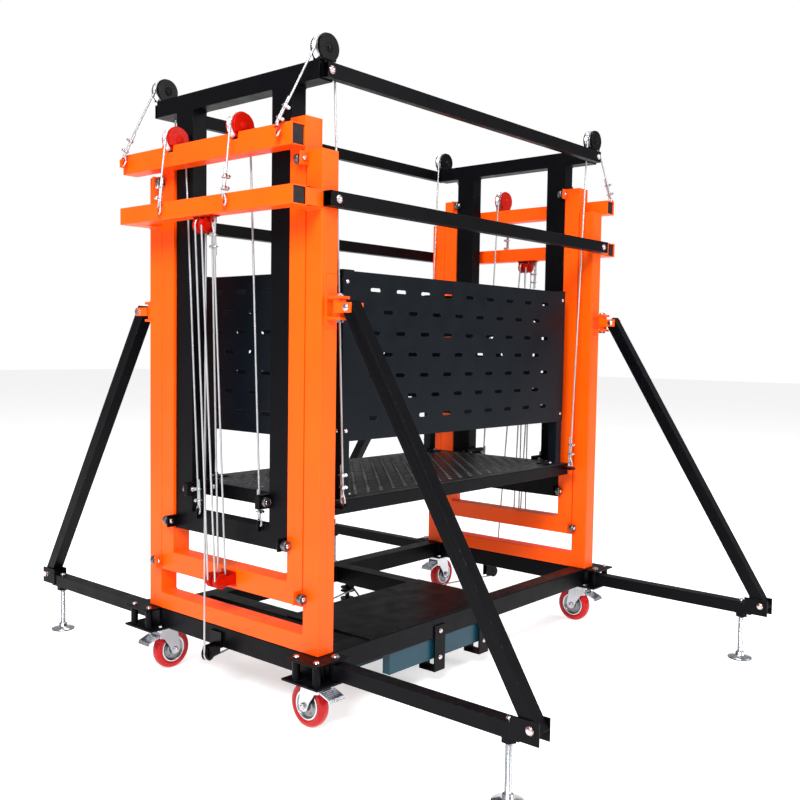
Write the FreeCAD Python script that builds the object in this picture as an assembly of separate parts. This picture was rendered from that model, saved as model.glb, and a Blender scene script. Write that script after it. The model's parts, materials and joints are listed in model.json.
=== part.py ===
"""Two-mast, three-stage rope-hoisted mobile work platform.

Millimetres. +X runs from the near mast to the far mast, +Y across the masts, +Z up.
The origin lies on the floor, under the middle of the platform.
Each mast is drawn as the near one, at -X, and turned half a turn about Z for the far one.
"""

import FreeCAD
import Part
import math
import os

V = FreeCAD.Vector
X_AXIS = V(1, 0, 0)
Y_AXIS = V(0, 1, 0)
Z_AXIS = V(0, 0, 1)

# ---- overall sizes -------------------------------------------------------------------------------
HALF_LENGTH = 730.0        # centre to the outer face of a mast
HALF_WIDTH = 380.0         # centre to the outer face of an outer upright
MAST_DEPTH = 60.0          # uprights, front to back
WALL = 3.0                 # steel tube wall
RUN_CLEARANCE = 0.05       # radial clearance of every turning fit

# ---- heights above the floor ---------------------------------------------------------------------
BRACKET_BOTTOM = 144.0     # top of the caster plates
BASE_BOTTOM = 150.0
BASE_TOP = 210.0
OUTER_TOP = 1546.0
OUTER_BAR_HEIGHT = 50.0
OUTER_CROSSBAR_Z = 1391.0
OUTER_CROSSBAR_SIZE = 50.0
OUTER_CROSSBAR_OFFSET = 55.0
MIDDLE_BOTTOM = 334.0
MIDDLE_TOP = 1638.0
MIDDLE_BAR_HEIGHT = 60.0
MIDDLE_CROSSBAR_DEPTH = 50.0
INNER_BOTTOM = 471.0
INNER_BAR_HEIGHT = 60.0
INNER_CROSSBAR_Z = 1727.0
INNER_CROSSBAR_HEIGHT = 50.0

# ---- nested frame widths -------------------------------------------------------------------------
UPRIGHT_WIDTH = 60.0
STAGE_GAP = 3.0
MIDDLE_HALF_WIDTH = HALF_WIDTH - UPRIGHT_WIDTH - STAGE_GAP
INNER_HALF_WIDTH = MIDDLE_HALF_WIDTH - UPRIGHT_WIDTH - STAGE_GAP
INNER_UPRIGHT_WIDTH = 80.0
INNER_FRONT = 8.0          # the inner stage stands back to let the ropes pass in front
INNER_REAR = 58.0
INNER_CROSSBAR_HALF = 355.0
NEAR_CROSSBAR = (1614.0, 59.0, 449.0, 424.0)    # middle stage: top, height, overhang, hook Y
FAR_CROSSBAR = (1592.0, 50.0, 402.0, 380.0)     # the far one sits a little lower and is shorter

# ---- rope and sheaves ----------------------------------------------------------------------------
ROPE_R = 3.0
SHEAVE_R = 39.0
INNER_SHEAVE_R = 38.0
SHEAVE_ROPE_R = 35.0
SHEAVE_HALF_WIDTH = 12.0
CHEEK_R = 36.0             # rounded plates that carry a sheave's axle
CHEEK_THICKNESS = 5.0
AXLE_R = 6.0
MIDDLE_SHEAVE_Z = 1633.0
INNER_SHEAVE_Z = 1809.0
MIDDLE_SHEAVE_D = -31.0
MIDDLE_SHEAVE_YS = (206.0, -88.0)
INNER_SHEAVE_D = 33.0
INNER_SHEAVE_YS = (350.0, -350.0)
HOOK_D = -66.0
LUG_D = -115.0             # eyes on the outer crossbar's front face
LUG_Z = 1413.0
LUG_SHIFT = -36.0          # those eyes stand to one side of their sheaves
INNER_HOOK_Y = -276.0
INNER_ANCHOR_YS = (137.0, -140.0)
INNER_ANCHOR_D = 4.0
HOOK_EYE_Z = 1584.0
ANCHOR_EYE_RISE = 6.0      # eye above the inner stage's bottom bar
DECK_ANCHOR_X = 605.0
DECK_ANCHOR_Y = 345.0

# ---- hoist tackle --------------------------------------------------------------------------------
UPPER_BLOCK_D = -80.0
LOWER_BLOCK_D = -45.0
BLOCK_SHEAVE_R = 22.0
BLOCK_ROPE_R = 18.5
BLOCK_HALF_WIDTH = 8.5
UPPER_BLOCK_Z = 1366.0
LOWER_BLOCK_Z = 362.0
UPPER_SHEAVE_YS = (22.0, -6.0)
LOWER_SHEAVE_YS = (4.0, -28.0)
DEAD_END_Y = -36.0
DEAD_EYE_Z = 1381.0
DEAD_ROPE_TOP = 1352.0
BLOCK_CHEEK = 3.0
NEAR_LEAD_Y = 22.0
FAR_LEAD_TOP_Y = 20.0
FAR_LEAD_BOTTOM_Y = 110.0
NEAR_SHEAVE_Z = 143.0
FAR_SHEAVE_Z = 102.0

# ---- carriage ------------------------------------------------------------------------------------
DECK_HALF_LENGTH = 635.0
DECK_HALF_WIDTH = 318.0
DECK_BOTTOM = 567.0
DECK_TUBE = 40.0
DECK_TOP = 610.0
POST_SIZE = 35.0
POST_END = 585.0           # guard post outer face, along X
POST_SIDE = 316.0          # guard post outer face, along Y
PANEL_BOTTOM = 770.0
GUARD_TOP = 1245.0
PANEL_THICKNESS = 2.0
PANEL_LIP = 12.0
SLOT_LENGTH = 42.0
SLOT_HEIGHT = 12.0
SLOT_PITCH = 113.0
SLOT_ROW_PITCH = 61.0
SLOT_ROWS = 7

# ---- outriggers ----------------------------------------------------------------------------------
PIVOT_D = 35.0
PIVOT_Y = 412.0
PIVOT_R = 8.0
LEG_SIZE = 40.0
LEG_BOTTOM = 157.0
LEG_LENGTH = 595.0
LEG_END = 650.0
BRACE_SIZE = 38.0
BRACE_HINGE_Z = 1135.0
EAR_HALF_HEIGHT = 13.0     # the plates beside the brace's upper bolt
BRACE_TOP_REACH = 46.0
BRACE_FOOT_REACH = 626.0
BRACE_FOOT_Z = 194.0
FOOT_REACH = 556.0

# ---- casters -------------------------------------------------------------------------------------
CASTER_D = 30.0
CASTER_Y = 350.0
CASTER_TRAIL = 28.0
WHEEL_R = 62.5
WHEEL_HALF_WIDTH = 16.0
FORK_GAP = 23.0
PEDAL_PIVOT = (-20.0, 116.0)

# ---- guide rollers -------------------------------------------------------------------------------
GUIDE_R = 14.0
GUIDE_GAP = 0.4
GUIDE_WIDTH = 16.0
CARRIAGE_ROLLER_WIDTH = 12.5
TAB_THICKNESS = 6.0

# ---- tie tubes -----------------------------------------------------------------------------------
TIE_HEIGHT = 40.0
TIE_WALL = 2.0
TIE_BOLT_D = 33.0
LOWER_TIE_WIDTH = 30.0
UPPER_TIE_WIDTH = 24.0
UPPER_TIE_REACH = 712.0


# ---- helpers -------------------------------------------------------------------------------------
def box(x0, x1, y0, y1, z0, z1):
    """A box between two corners."""
    return Part.makeBox(x1 - x0, y1 - y0, z1 - z0, V(x0, y0, z0))


def mast_box(d0, d1, y0, y1, z0, z1):
    """A box of the near mast: d is measured from the mast's outer face towards the platform."""
    return box(d0 - HALF_LENGTH, d1 - HALF_LENGTH, y0, y1, z0, z1)


def rod(start, axis, radius, length):
    """A round bar."""
    return Part.makeCylinder(radius, length, start, axis)


def mast_point(d, y, z):
    return V(d - HALF_LENGTH, y, z)


def fused(shapes):
    """One solid from touching shapes."""
    result = shapes[0].fuse(shapes[1:])
    return result.removeSplitter()


def cut(shape, tools):
    """The shape with every tool removed."""
    return shape.cut(tools[0].fuse(tools[1:]) if len(tools) > 1 else tools[0])


def mirrored_y(shape):
    return shape.mirror(V(0, 0, 0), Y_AXIS)


def mirrored_x(shape):
    return shape.mirror(V(0, 0, 0), X_AXIS)


def half_turn(shape):
    """The far mast's copy of a near mast shape."""
    turned = shape.copy()
    turned.rotate(V(0, 0, 0), Z_AXIS, 180)
    return turned


def both_sides(shapes):
    """Shapes on the +Y side and their mirror images on the -Y side."""
    return shapes + [mirrored_y(s) for s in shapes]


def turned(shapes):
    return [half_turn(s) for s in shapes]


def both_masts(shapes):
    return shapes + turned(shapes)


def both_ends(shapes):
    return shapes + [mirrored_x(s) for s in shapes]


def revolved(profile, centre, axis):
    """A solid of revolution from (radius, distance along the axis) points."""
    side = Y_AXIS if abs(axis.y) < 0.5 else X_AXIS
    points = [centre + side * r + axis * h for r, h in profile]
    face = Part.Face(Part.makePolygon(points + points[:1]))
    return face.revolve(centre, axis, 360)


def hex_head(centre, axis, across_flats, height):
    """A hexagonal bolt head or nut standing on centre."""
    side = Y_AXIS if abs(axis.y) < 0.5 else X_AXIS
    other = axis.cross(side)
    reach = across_flats / math.sqrt(3)
    corners = []
    for k in range(6):
        turn = math.radians(60 * k)
        corners.append(centre + side * (reach * math.cos(turn)) + other * (reach * math.sin(turn)))
    return Part.Face(Part.makePolygon(corners + corners[:1])).extrude(axis * height)


def domed_bolt(centre, axis, radius=8.0, height=5.0):
    """A round-headed bolt's head, standing on centre."""
    return revolved([(0, 0), (radius, 0), (radius, 0.3 * height), (0.7 * radius, 0.85 * height),
                     (0.3 * radius, height), (0, height)], centre, axis)


def straight_rope(start, end, gap=0.6):
    """A rope length between two points, stopping just short of both."""
    run = end - start
    length = run.Length
    run.normalize()
    return rod(start + run * gap, run, ROPE_R, length - 2 * gap)


def rope_over(centre, radius, first_deg, sweep_deg):
    """Rope lying on a sheave whose axle is along Y; angles run from +X towards +Z."""
    first = math.radians(first_deg)
    start = centre + V(math.cos(first), 0, math.sin(first)) * radius
    tangent = V(-math.sin(first), 0, math.cos(first))
    section = Part.Face(Part.Wire(Part.makeCircle(ROPE_R, start, tangent)))
    return section.revolve(centre, V(0, -1, 0), sweep_deg)


def sheave(centre, radius, rope_radius, half_width, axle_radius):
    """A grooved wheel on an axle along Y."""
    floor = rope_radius - ROPE_R - 0.2
    bore = axle_radius + RUN_CLEARANCE
    hub = max(bore + 5.0, 0.36 * radius)
    web = half_width - 3.5
    mouth = half_width - 2.0
    profile = [(bore, -half_width), (hub, -half_width), (hub, -web), (0.78 * floor, -web),
               (0.78 * floor, -half_width), (radius, -half_width), (radius, -mouth),
               (floor + 2.0, -3.4), (floor, -2.2), (floor, 2.2), (floor + 2.0, 3.4),
               (radius, mouth), (radius, half_width), (0.78 * floor, half_width),
               (0.78 * floor, web), (hub, web), (hub, half_width), (bore, half_width)]
    return revolved(profile, centre, Y_AXIS)


def sheave_cheeks(centre, foot_z):
    """Two rounded plates that carry a sheave's axle, standing on foot_z."""
    plates = []
    gap = SHEAVE_HALF_WIDTH + 1
    half = 0.7 * CHEEK_R
    for start in (gap, -gap - CHEEK_THICKNESS):
        low = centre.y + start
        disc = rod(V(centre.x, low, centre.z), Y_AXIS, CHEEK_R, CHEEK_THICKNESS)
        stem = box(centre.x - half, centre.x + half, low, low + CHEEK_THICKNESS, foot_z, centre.z)
        trim = box(centre.x - CHEEK_R - 1, centre.x + CHEEK_R + 1, low - 1,
                   low + CHEEK_THICKNESS + 1, foot_z - 2 * CHEEK_R, foot_z)
        hole = rod(V(centre.x, low - 1, centre.z), Y_AXIS, AXLE_R, CHEEK_THICKNESS + 2)
        plates.append(cut(fused([disc, stem]), [trim, hole]))
    return plates


def sheave_axle(centre, half_length, radius):
    """An axle along Y with a domed head at both ends."""
    shaft = rod(centre - Y_AXIS * half_length, Y_AXIS, radius, 2 * half_length)
    head = domed_bolt(centre - Y_AXIS * half_length, V(0, -1, 0), radius + 3, 5)
    nut = domed_bolt(centre + Y_AXIS * half_length, Y_AXIS, radius + 3, 5)
    return fused([shaft, head, nut])


def eye_lug(centre, d_reach, z_reach, thickness=6.0, hole=5.0):
    """A plate with an eye; the reaches are its box around the eye as (low, high) offsets."""
    plate = box(centre.x + d_reach[0], centre.x + d_reach[1],
                centre.y - thickness / 2, centre.y + thickness / 2,
                centre.z + z_reach[0], centre.z + z_reach[1])
    return cut(plate, [rod(centre - Y_AXIS * thickness, Y_AXIS, hole, 2 * thickness)])


def thimble(eye, radius=9.0):
    """The ring at a rope's end, standing up through an eye."""
    return Part.makeTorus(radius, 2.4, eye + Z_AXIS * radius, X_AXIS)


# ---- welded tube frames --------------------------------------------------------------------------
def welded(outers, inners, holes=()):
    """Tubes welded into one frame: the outsides joined, the insides hollowed."""
    return cut(fused(outers), list(inners) + list(holes))


def upright_pair(d0, d1, inner_y, outer_y, z0, z1):
    outers = both_sides([mast_box(d0, d1, inner_y, outer_y, z0, z1)])
    inners = both_sides([mast_box(d0 + WALL, d1 - WALL, inner_y + WALL, outer_y - WALL,
                                  z0 + WALL, z1 - WALL)])
    return outers, inners


def cross_tube(d0, d1, y0, y1, z0, z1, open_ends):
    """A tube along Y; open ends let its hollow run out."""
    reach = 1.0 if open_ends else -WALL
    outer = mast_box(d0, d1, y0, y1, z0, z1)
    inner = mast_box(d0 + WALL, d1 - WALL, y0 - reach, y1 + reach, z0 + WALL, z1 - WALL)
    return outer, inner


def weep_holes(d, z, reach_y):
    """Drain holes through the underside of a bottom bar."""
    return [rod(mast_point(d, y, z - 1), Z_AXIS, 4.0, WALL + 2) for y in (-reach_y, reach_y)]


def outer_frame():
    """The fixed mast frame with its crossbar stood off on two spacers."""
    inner_y = HALF_WIDTH - UPRIGHT_WIDTH
    outers, inners = upright_pair(0, MAST_DEPTH, inner_y, HALF_WIDTH, BASE_TOP, OUTER_TOP)
    bar = cross_tube(0, MAST_DEPTH, -HALF_WIDTH, HALF_WIDTH, BASE_TOP,
                     BASE_TOP + OUTER_BAR_HEIGHT, False)
    top = OUTER_CROSSBAR_Z + OUTER_CROSSBAR_SIZE
    crossbar = cross_tube(-OUTER_CROSSBAR_OFFSET - OUTER_CROSSBAR_SIZE, -OUTER_CROSSBAR_OFFSET,
                          -HALF_WIDTH, HALF_WIDTH, OUTER_CROSSBAR_Z, top, True)
    spacers = both_sides([mast_box(-OUTER_CROSSBAR_OFFSET, 0, inner_y, HALF_WIDTH,
                                   OUTER_CROSSBAR_Z, top)])
    hollows = both_sides([mast_box(-OUTER_CROSSBAR_OFFSET - WALL - 1, WALL + 1, inner_y + WALL,
                                   HALF_WIDTH - WALL, OUTER_CROSSBAR_Z + WALL, top - WALL)])
    frame = welded(outers + [bar[0], crossbar[0]] + spacers, inners + [bar[1], crossbar[1]] + hollows,
                   weep_holes(MAST_DEPTH / 2, BASE_TOP, 200))
    lugs = [eye_lug(mast_point(LUG_D, y + LUG_SHIFT, LUG_Z), (-11, 10), (-11, 11))
            for y in MIDDLE_SHEAVE_YS]
    return fused([frame] + lugs + both_sides(hinge_lugs()))


def hinge_lugs():
    """The backing strip and two ears on an upright's side that carry an outrigger's top pin."""
    strip = mast_box(PIVOT_D - 20, PIVOT_D + 20, HALF_WIDTH, HALF_WIDTH + 4, 1085, 1225)
    parts = [strip]
    for z0 in (BRACE_HINGE_Z - 31, BRACE_HINGE_Z + 23):
        ear = mast_box(PIVOT_D - 20, PIVOT_D + 20, HALF_WIDTH, PIVOT_Y + 20, z0, z0 + 8)
        parts.append(cut(ear, [rod(mast_point(PIVOT_D, PIVOT_Y, z0 - 1), Z_AXIS, PIVOT_R, 10)]))
    return [fused(parts)]


def middle_frame(crossbar_sizes):
    """A middle stage frame: its crossbar is set off to one side, notched for two sheaves."""
    top, height, overhang, hook_y = crossbar_sizes
    inner_y = MIDDLE_HALF_WIDTH - UPRIGHT_WIDTH
    outers, inners = upright_pair(0, MAST_DEPTH, inner_y, MIDDLE_HALF_WIDTH, MIDDLE_BOTTOM,
                                  MIDDLE_TOP)
    bar = cross_tube(0, MAST_DEPTH, -MIDDLE_HALF_WIDTH, MIDDLE_HALF_WIDTH, MIDDLE_BOTTOM,
                     MIDDLE_BOTTOM + MIDDLE_BAR_HEIGHT, False)
    crossbar = cross_tube(-MIDDLE_CROSSBAR_DEPTH, 0, -MIDDLE_HALF_WIDTH, overhang, top - height, top,
                          True)
    frame = welded(outers + [bar[0], crossbar[0]], inners + [bar[1], crossbar[1]],
                   weep_holes(MAST_DEPTH / 2, MIDDLE_BOTTOM, 200))
    reach = SHEAVE_HALF_WIDTH + 2
    notches = [rod(middle_sheave_centre(y) - Y_AXIS * reach, Y_AXIS, SHEAVE_R + 2.5, 2 * reach)
               for y in MIDDLE_SHEAVE_YS]
    hooks = []
    for y in (hook_y, INNER_HOOK_Y):
        hooks.append(eye_lug(mast_point(HOOK_D, y, HOOK_EYE_Z), (-11, 16), (-12, 12)))
    return fused([cut(frame, notches)] + hooks)


def inner_frame():
    """The inner stage, with sheaves over both ends of its top crossbar."""
    inner_y = INNER_HALF_WIDTH - INNER_UPRIGHT_WIDTH
    outers, inners = upright_pair(INNER_FRONT, INNER_REAR, inner_y, INNER_HALF_WIDTH, INNER_BOTTOM,
                                  INNER_CROSSBAR_Z + WALL)
    bar = cross_tube(INNER_FRONT, INNER_REAR, -INNER_HALF_WIDTH, INNER_HALF_WIDTH, INNER_BOTTOM,
                     INNER_BOTTOM + INNER_BAR_HEIGHT, False)
    top = INNER_CROSSBAR_Z + INNER_CROSSBAR_HEIGHT
    crossbar = cross_tube(INNER_FRONT, INNER_REAR, -INNER_CROSSBAR_HALF, INNER_CROSSBAR_HALF,
                          INNER_CROSSBAR_Z, top, False)
    middle_d = (INNER_FRONT + INNER_REAR) / 2
    links = both_sides([rod(mast_point(middle_d, inner_y + 40, INNER_CROSSBAR_Z - 5), Z_AXIS, 12, 12)])
    reach = SHEAVE_HALF_WIDTH + 2
    notches = [rod(inner_sheave_centre(y) - Y_AXIS * reach, Y_AXIS, INNER_SHEAVE_R + 2, 2 * reach)
               for y in INNER_SHEAVE_YS]
    frame = welded(outers + [bar[0], crossbar[0]], inners + [bar[1], crossbar[1]] + links,
                   weep_holes(middle_d, INNER_BOTTOM, 120) + notches)
    extras = []
    for y in INNER_ANCHOR_YS:
        eye = mast_point(INNER_ANCHOR_D - 1, y, INNER_BOTTOM + INNER_BAR_HEIGHT + ANCHOR_EYE_RISE)
        extras.append(eye_lug(eye, (-8, 5), (-22, 8), hole=4.0))
    return fused([frame] + extras)


def middle_sheave_centre(y):
    return mast_point(MIDDLE_SHEAVE_D, y, MIDDLE_SHEAVE_Z)


def inner_sheave_centre(y):
    return mast_point(INNER_SHEAVE_D, y, INNER_SHEAVE_Z)


# ---- guide rollers -------------------------------------------------------------------------------
def guide_roller(ride_d, mount_d, front, tab_y, roller_y, z):
    """A tab on a frame's face and the roller that runs on the next frame's face, +Y side.

    The axle is along Y. tab_y and roller_y are where the tab and the roller start.
    """
    out = -1 if front else 1
    axle_d = ride_d + out * (GUIDE_R + GUIDE_GAP)
    tab_d = sorted((mount_d, axle_d + out * 14))
    low = min(tab_y, roller_y)
    high = max(tab_y + TAB_THICKNESS, roller_y + GUIDE_WIDTH)
    tab = mast_box(tab_d[0], tab_d[1], tab_y, tab_y + TAB_THICKNESS, z - 18, z + 18)
    tab = cut(tab, [rod(mast_point(axle_d, tab_y - 1, z), Y_AXIS, 5, TAB_THICKNESS + 2)])
    return [tab, roller_on_bolt(axle_d, low, high, roller_y, z)]


def roller_on_bolt(axle_d, low, high, roller_y, z, width=GUIDE_WIDTH, outer_height=5):
    """A bearing roller on its bolt, with a head at each end."""
    shaft = rod(mast_point(axle_d, low, z), Y_AXIS, 5, high - low)
    roller = rod(mast_point(axle_d, roller_y, z), Y_AXIS, GUIDE_R, width)
    outer_head = domed_bolt(mast_point(axle_d, high, z), Y_AXIS, 8, outer_height)
    inner_head = domed_bolt(mast_point(axle_d, low, z), V(0, -1, 0), 8, 5)
    return fused([shaft, roller, outer_head, inner_head])


def stage_rollers(mount_front, mount_rear, ride_front, ride_rear, tab_y, roller_y, z, faces):
    """Rollers on the chosen faces of both masts and both sides."""
    shapes = []
    if "front" in faces:
        shapes += guide_roller(ride_front, mount_front, True, tab_y, roller_y, z)
    if "rear" in faces:
        shapes += guide_roller(ride_rear, mount_rear, False, tab_y, roller_y, z)
    return both_masts(both_sides(shapes))


def outer_guide_rollers():
    edge = HALF_WIDTH - UPRIGHT_WIDTH
    return stage_rollers(0, MAST_DEPTH, 0, MAST_DEPTH, edge + 2, edge - 22, OUTER_TOP - 23,
                         ("front",))


def middle_guide_rollers():
    edge = MIDDLE_HALF_WIDTH - UPRIGHT_WIDTH
    top = stage_rollers(0, MAST_DEPTH, INNER_FRONT, INNER_REAR, edge + 2, edge - 20,
                        MIDDLE_TOP - 20, ("rear",))
    bottom = stage_rollers(0, MAST_DEPTH, 0, MAST_DEPTH, MIDDLE_HALF_WIDTH - 8,
                           MIDDLE_HALF_WIDTH + 6, MIDDLE_BOTTOM + 27, ("front", "rear"))
    return top + bottom


def inner_guide_rollers():
    return stage_rollers(INNER_FRONT, INNER_REAR, 0, MAST_DEPTH, INNER_HALF_WIDTH - 8,
                         INNER_HALF_WIDTH + 6, INNER_BOTTOM + 24, ("front", "rear"))


def carriage_guide_rollers():
    """Rollers bolted through the carriage's arms, running on the inner stage."""
    shapes = []
    arm_low, arm_high = carriage_arm_y()
    roller_y = arm_high + 1.5
    end_y = roller_y + CARRIAGE_ROLLER_WIDTH
    for ride, out in ((INNER_FRONT, -1), (INNER_REAR, 1)):
        axle_d = ride + out * (GUIDE_R + GUIDE_GAP)
        shapes.append(roller_on_bolt(axle_d, arm_low, end_y, roller_y, carriage_arm_z(),
                                     CARRIAGE_ROLLER_WIDTH, 2))
    return both_masts(both_sides(shapes))


# ---- tie tubes -----------------------------------------------------------------------------------
def tie_tubes(face_y, width, z0, reach, bolt_d):
    """Two open-ended tubes that join the masts along both sides, with their bolts."""
    outer = box(-reach, reach, face_y, face_y + width, z0, z0 + TIE_HEIGHT)
    inner = box(-reach - 1, reach + 1, face_y + TIE_WALL, face_y + width - TIE_WALL,
                z0 + TIE_WALL, z0 + TIE_HEIGHT - TIE_WALL)
    bolt = domed_bolt(mast_point(bolt_d, face_y + width, z0 + TIE_HEIGHT / 2), Y_AXIS, 8, 6)
    return both_sides([outer.cut(inner)] + both_ends([bolt]))


# ---- base ----------------------------------------------------------------------------------------
def base_frame():
    """The welded tube base that the masts stand on."""
    inner_y = HALF_WIDTH - UPRIGHT_WIDTH
    members = [
        (-HALF_LENGTH, -HALF_LENGTH + MAST_DEPTH, -HALF_WIDTH, HALF_WIDTH),
        (HALF_LENGTH - MAST_DEPTH, HALF_LENGTH, -HALF_WIDTH, HALF_WIDTH),
        (-HALF_LENGTH, HALF_LENGTH, inner_y, HALF_WIDTH),
        (-HALF_LENGTH, HALF_LENGTH, -HALF_WIDTH, -inner_y),
        (-530, -470, -inner_y - WALL - 1, inner_y + WALL + 1),
        (50, 110, -inner_y - WALL - 1, inner_y + WALL + 1),
    ]
    outers = [box(x0, x1, y0, y1, BASE_BOTTOM, BASE_TOP) for x0, x1, y0, y1 in members]
    inners = [box(x0 + WALL, x1 - WALL, y0 + WALL, y1 - WALL, BASE_BOTTOM + WALL, BASE_TOP - WALL)
              for x0, x1, y0, y1 in members]
    drains = [rod(V(x, y, BASE_BOTTOM - 1), Z_AXIS, 4, WALL + 2)
              for x in (-420, 420) for y in (-350, 350)]
    return welded(outers, inners, drains)


def cover_plate():
    return box(-525, 105, -HALF_WIDTH + 2, -35, BASE_TOP, BASE_TOP + 3)


def corner_bracket():
    """The plates round a base corner that carry a caster and an outrigger pivot, near +Y."""
    lower = mast_box(-55, 84, 298, 435, BRACKET_BOTTOM, BASE_BOTTOM)
    upper = mast_box(-55, 65, HALF_WIDTH - UPRIGHT_WIDTH, 435, BASE_TOP - 6, BASE_TOP)
    upper = cut(upper, [mast_box(0, 66, 300, HALF_WIDTH, BASE_TOP - 7, BASE_TOP + 1)])
    webs = [mast_box(-6, 0, HALF_WIDTH - UPRIGHT_WIDTH, HALF_WIDTH, BASE_BOTTOM, BASE_TOP - 6),
            mast_box(3, 9, HALF_WIDTH, HALF_WIDTH + 20, BASE_BOTTOM, BASE_TOP - 6)]
    sleeves = [rod(mast_point(d, y, BASE_BOTTOM), Z_AXIS, 11, BASE_TOP - BASE_BOTTOM - 6)
               for d, y in bracket_bolt_places()]
    holes = [rod(mast_point(PIVOT_D, PIVOT_Y, 100), Z_AXIS, PIVOT_R, 150)]
    for d, y in bracket_bolt_places():
        holes.append(rod(mast_point(d, y, 100), Z_AXIS, 5, 150))
    for d, y in caster_bolt_places():
        holes.append(rod(mast_point(d, y, 100), Z_AXIS, 5, 80))
    return cut(fused([lower, upper] + webs + sleeves), holes)


def bracket_bolt_places():
    return [(-35, 335), (-35, 412)]


def caster_bolt_places():
    return [(CASTER_D + a, CASTER_Y + b) for a in (-40, 40) for b in (-39, 39)]


def base_fasteners():
    """Pivot pins, bracket bolts, caster plates and bolts, and the winch hangers' bolts."""
    corner = [caster_plate(), pivot_pin(BRACKET_BOTTOM, BASE_TOP)]
    corner.append(pivot_pin(BRACE_HINGE_Z - 31, BRACE_HINGE_Z + 31))
    for d, y in bracket_bolt_places():
        shaft = rod(mast_point(d, y, BRACKET_BOTTOM), Z_AXIS, 5, BASE_TOP - BRACKET_BOTTOM)
        head = domed_bolt(mast_point(d, y, BASE_TOP), Z_AXIS, 9, 7)
        nut = domed_bolt(mast_point(d, y, BRACKET_BOTTOM), V(0, 0, -1), 9, 7)
        corner.append(fused([shaft, head, nut]))
    for d, y in caster_bolt_places():
        shaft = rod(mast_point(d, y, BRACKET_BOTTOM - 4), Z_AXIS, 5, BASE_BOTTOM - BRACKET_BOTTOM + 4)
        nut = hex_head(mast_point(d, y, BASE_BOTTOM), Z_AXIS, 14, 6)
        head = hex_head(mast_point(d, y, BRACKET_BOTTOM - 4), V(0, 0, -1), 14, 4)
        corner.append(fused([shaft, head, nut]))
    shapes = both_ends(both_sides(corner))
    for x in HANGER_XS:
        for z in (170, 88):
            shapes.append(domed_bolt(V(x, -HALF_WIDTH - 5, z), V(0, -1, 0), 8, 5))
    return shapes


def pivot_pin(z0, z1):
    """A vertical pin with a domed head on top and a washer and nut below."""
    shaft = rod(mast_point(PIVOT_D, PIVOT_Y, z0 - 3), Z_AXIS, PIVOT_R, z1 - z0 + 3)
    head = domed_bolt(mast_point(PIVOT_D, PIVOT_Y, z1), Z_AXIS, 12, 8)
    washer = rod(mast_point(PIVOT_D, PIVOT_Y, z0), V(0, 0, -1), 12, 6)
    return fused([shaft, head, washer])


def caster_plate():
    """A caster's fixed top plate with its upper race and kingpin."""
    plate = mast_box(CASTER_D - 52, CASTER_D + 52, CASTER_Y - 50, CASTER_Y + 50,
                     BRACKET_BOTTOM - 4, BRACKET_BOTTOM)
    holes = [rod(mast_point(d, y, 100), Z_AXIS, 5, 60) for d, y in caster_bolt_places()]
    race = rod(mast_point(CASTER_D, CASTER_Y, 137.1), Z_AXIS, 28, 2.9)
    pin = rod(mast_point(CASTER_D, CASTER_Y, 129.9), Z_AXIS, 6, 10.1)
    head = rod(mast_point(CASTER_D, CASTER_Y, 125), Z_AXIS, 10, 4.9)
    return cut(fused([plate, race, pin, head]), holes)


# ---- winch and lead ropes ------------------------------------------------------------------------
HANGER_XS = (-210.0, 20.0)
WINCH_Y = -200.0
WINCH_Z = 120.0
DRUM_X0 = -236.0
DRUM_X1 = -84.0
DRUM_R = 38.0
TURN_X = 80.0
TURN_Y = 290.0
TURN_RADIUS = 23.0


def winch_hanger(x):
    """A strap hung from the side rail, holding the winch's front rail."""
    front = box(x - 25, x + 25, -HALF_WIDTH - 5, -HALF_WIDTH, 45, 188)
    floor = box(x - 25, x + 25, -HALF_WIDTH, -322, 45, 49)
    back = box(x - 25, x + 25, -326, -322, 49, BASE_BOTTOM)
    return fused([front, floor, back])


def lead_run(foot, turning, aim_deg, side):
    """A sheave on the base's outer face and the ropes through it; side is 1 on the near mast.

    It is drawn with the rope coming down at the origin and leaving along +X, then aimed.
    """
    centre = V(BLOCK_ROPE_R, 0, 0)
    wheel = sheave(centre, BLOCK_SHEAVE_R, BLOCK_ROPE_R, BLOCK_HALF_WIDTH, AXLE_R - RUN_CLEARANCE)
    axle = rod(centre - Y_AXIS * 14, Y_AXIS, AXLE_R, 28)
    rise = BASE_BOTTOM - foot.z + 12
    cheeks = [box(8, 60, y, y + BLOCK_CHEEK, -12, rise)
              for y in (-BLOCK_HALF_WIDTH - 4, BLOCK_HALF_WIDTH + 1)]
    shapes = [wheel, axle] + cheeks + [rope_over(centre, BLOCK_ROPE_R, 180, 90)]
    length = math.hypot(turning.x - foot.x, turning.y - foot.y)
    start = V(BLOCK_ROPE_R, 0, -BLOCK_ROPE_R)
    shapes.append(straight_rope(start, V(length, 0, -BLOCK_ROPE_R)))
    for shape in shapes:
        shape.rotate(V(0, 0, 0), Z_AXIS, aim_deg)
        shape.translate(foot)
    face_x = sorted((-side * HALF_LENGTH, -side * (HALF_LENGTH + 8)))
    plate = box(face_x[0], face_x[1], foot.y - 8, foot.y + 44, BASE_BOTTOM, BASE_TOP - 15)
    return [fused([plate] + shapes[:4])] + shapes[4:]


def turning_sheaves(heights):
    """Two stacked sheaves on a post under the cross member."""
    bottom = min(heights) - 14
    shapes = [rod(V(TURN_X, TURN_Y, bottom), Z_AXIS, 8, BASE_BOTTOM - bottom)]
    groove = TURN_RADIUS - ROPE_R - 0.2
    for z in heights:
        profile = [(7, -8), (26, -8), (26, -6), (groove, -2.5), (groove, 2.5), (26, 6), (26, 8), (7, 8)]
        shapes.append(revolved(profile, V(TURN_X, TURN_Y, z), Z_AXIS))
    return fused(shapes)


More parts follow.
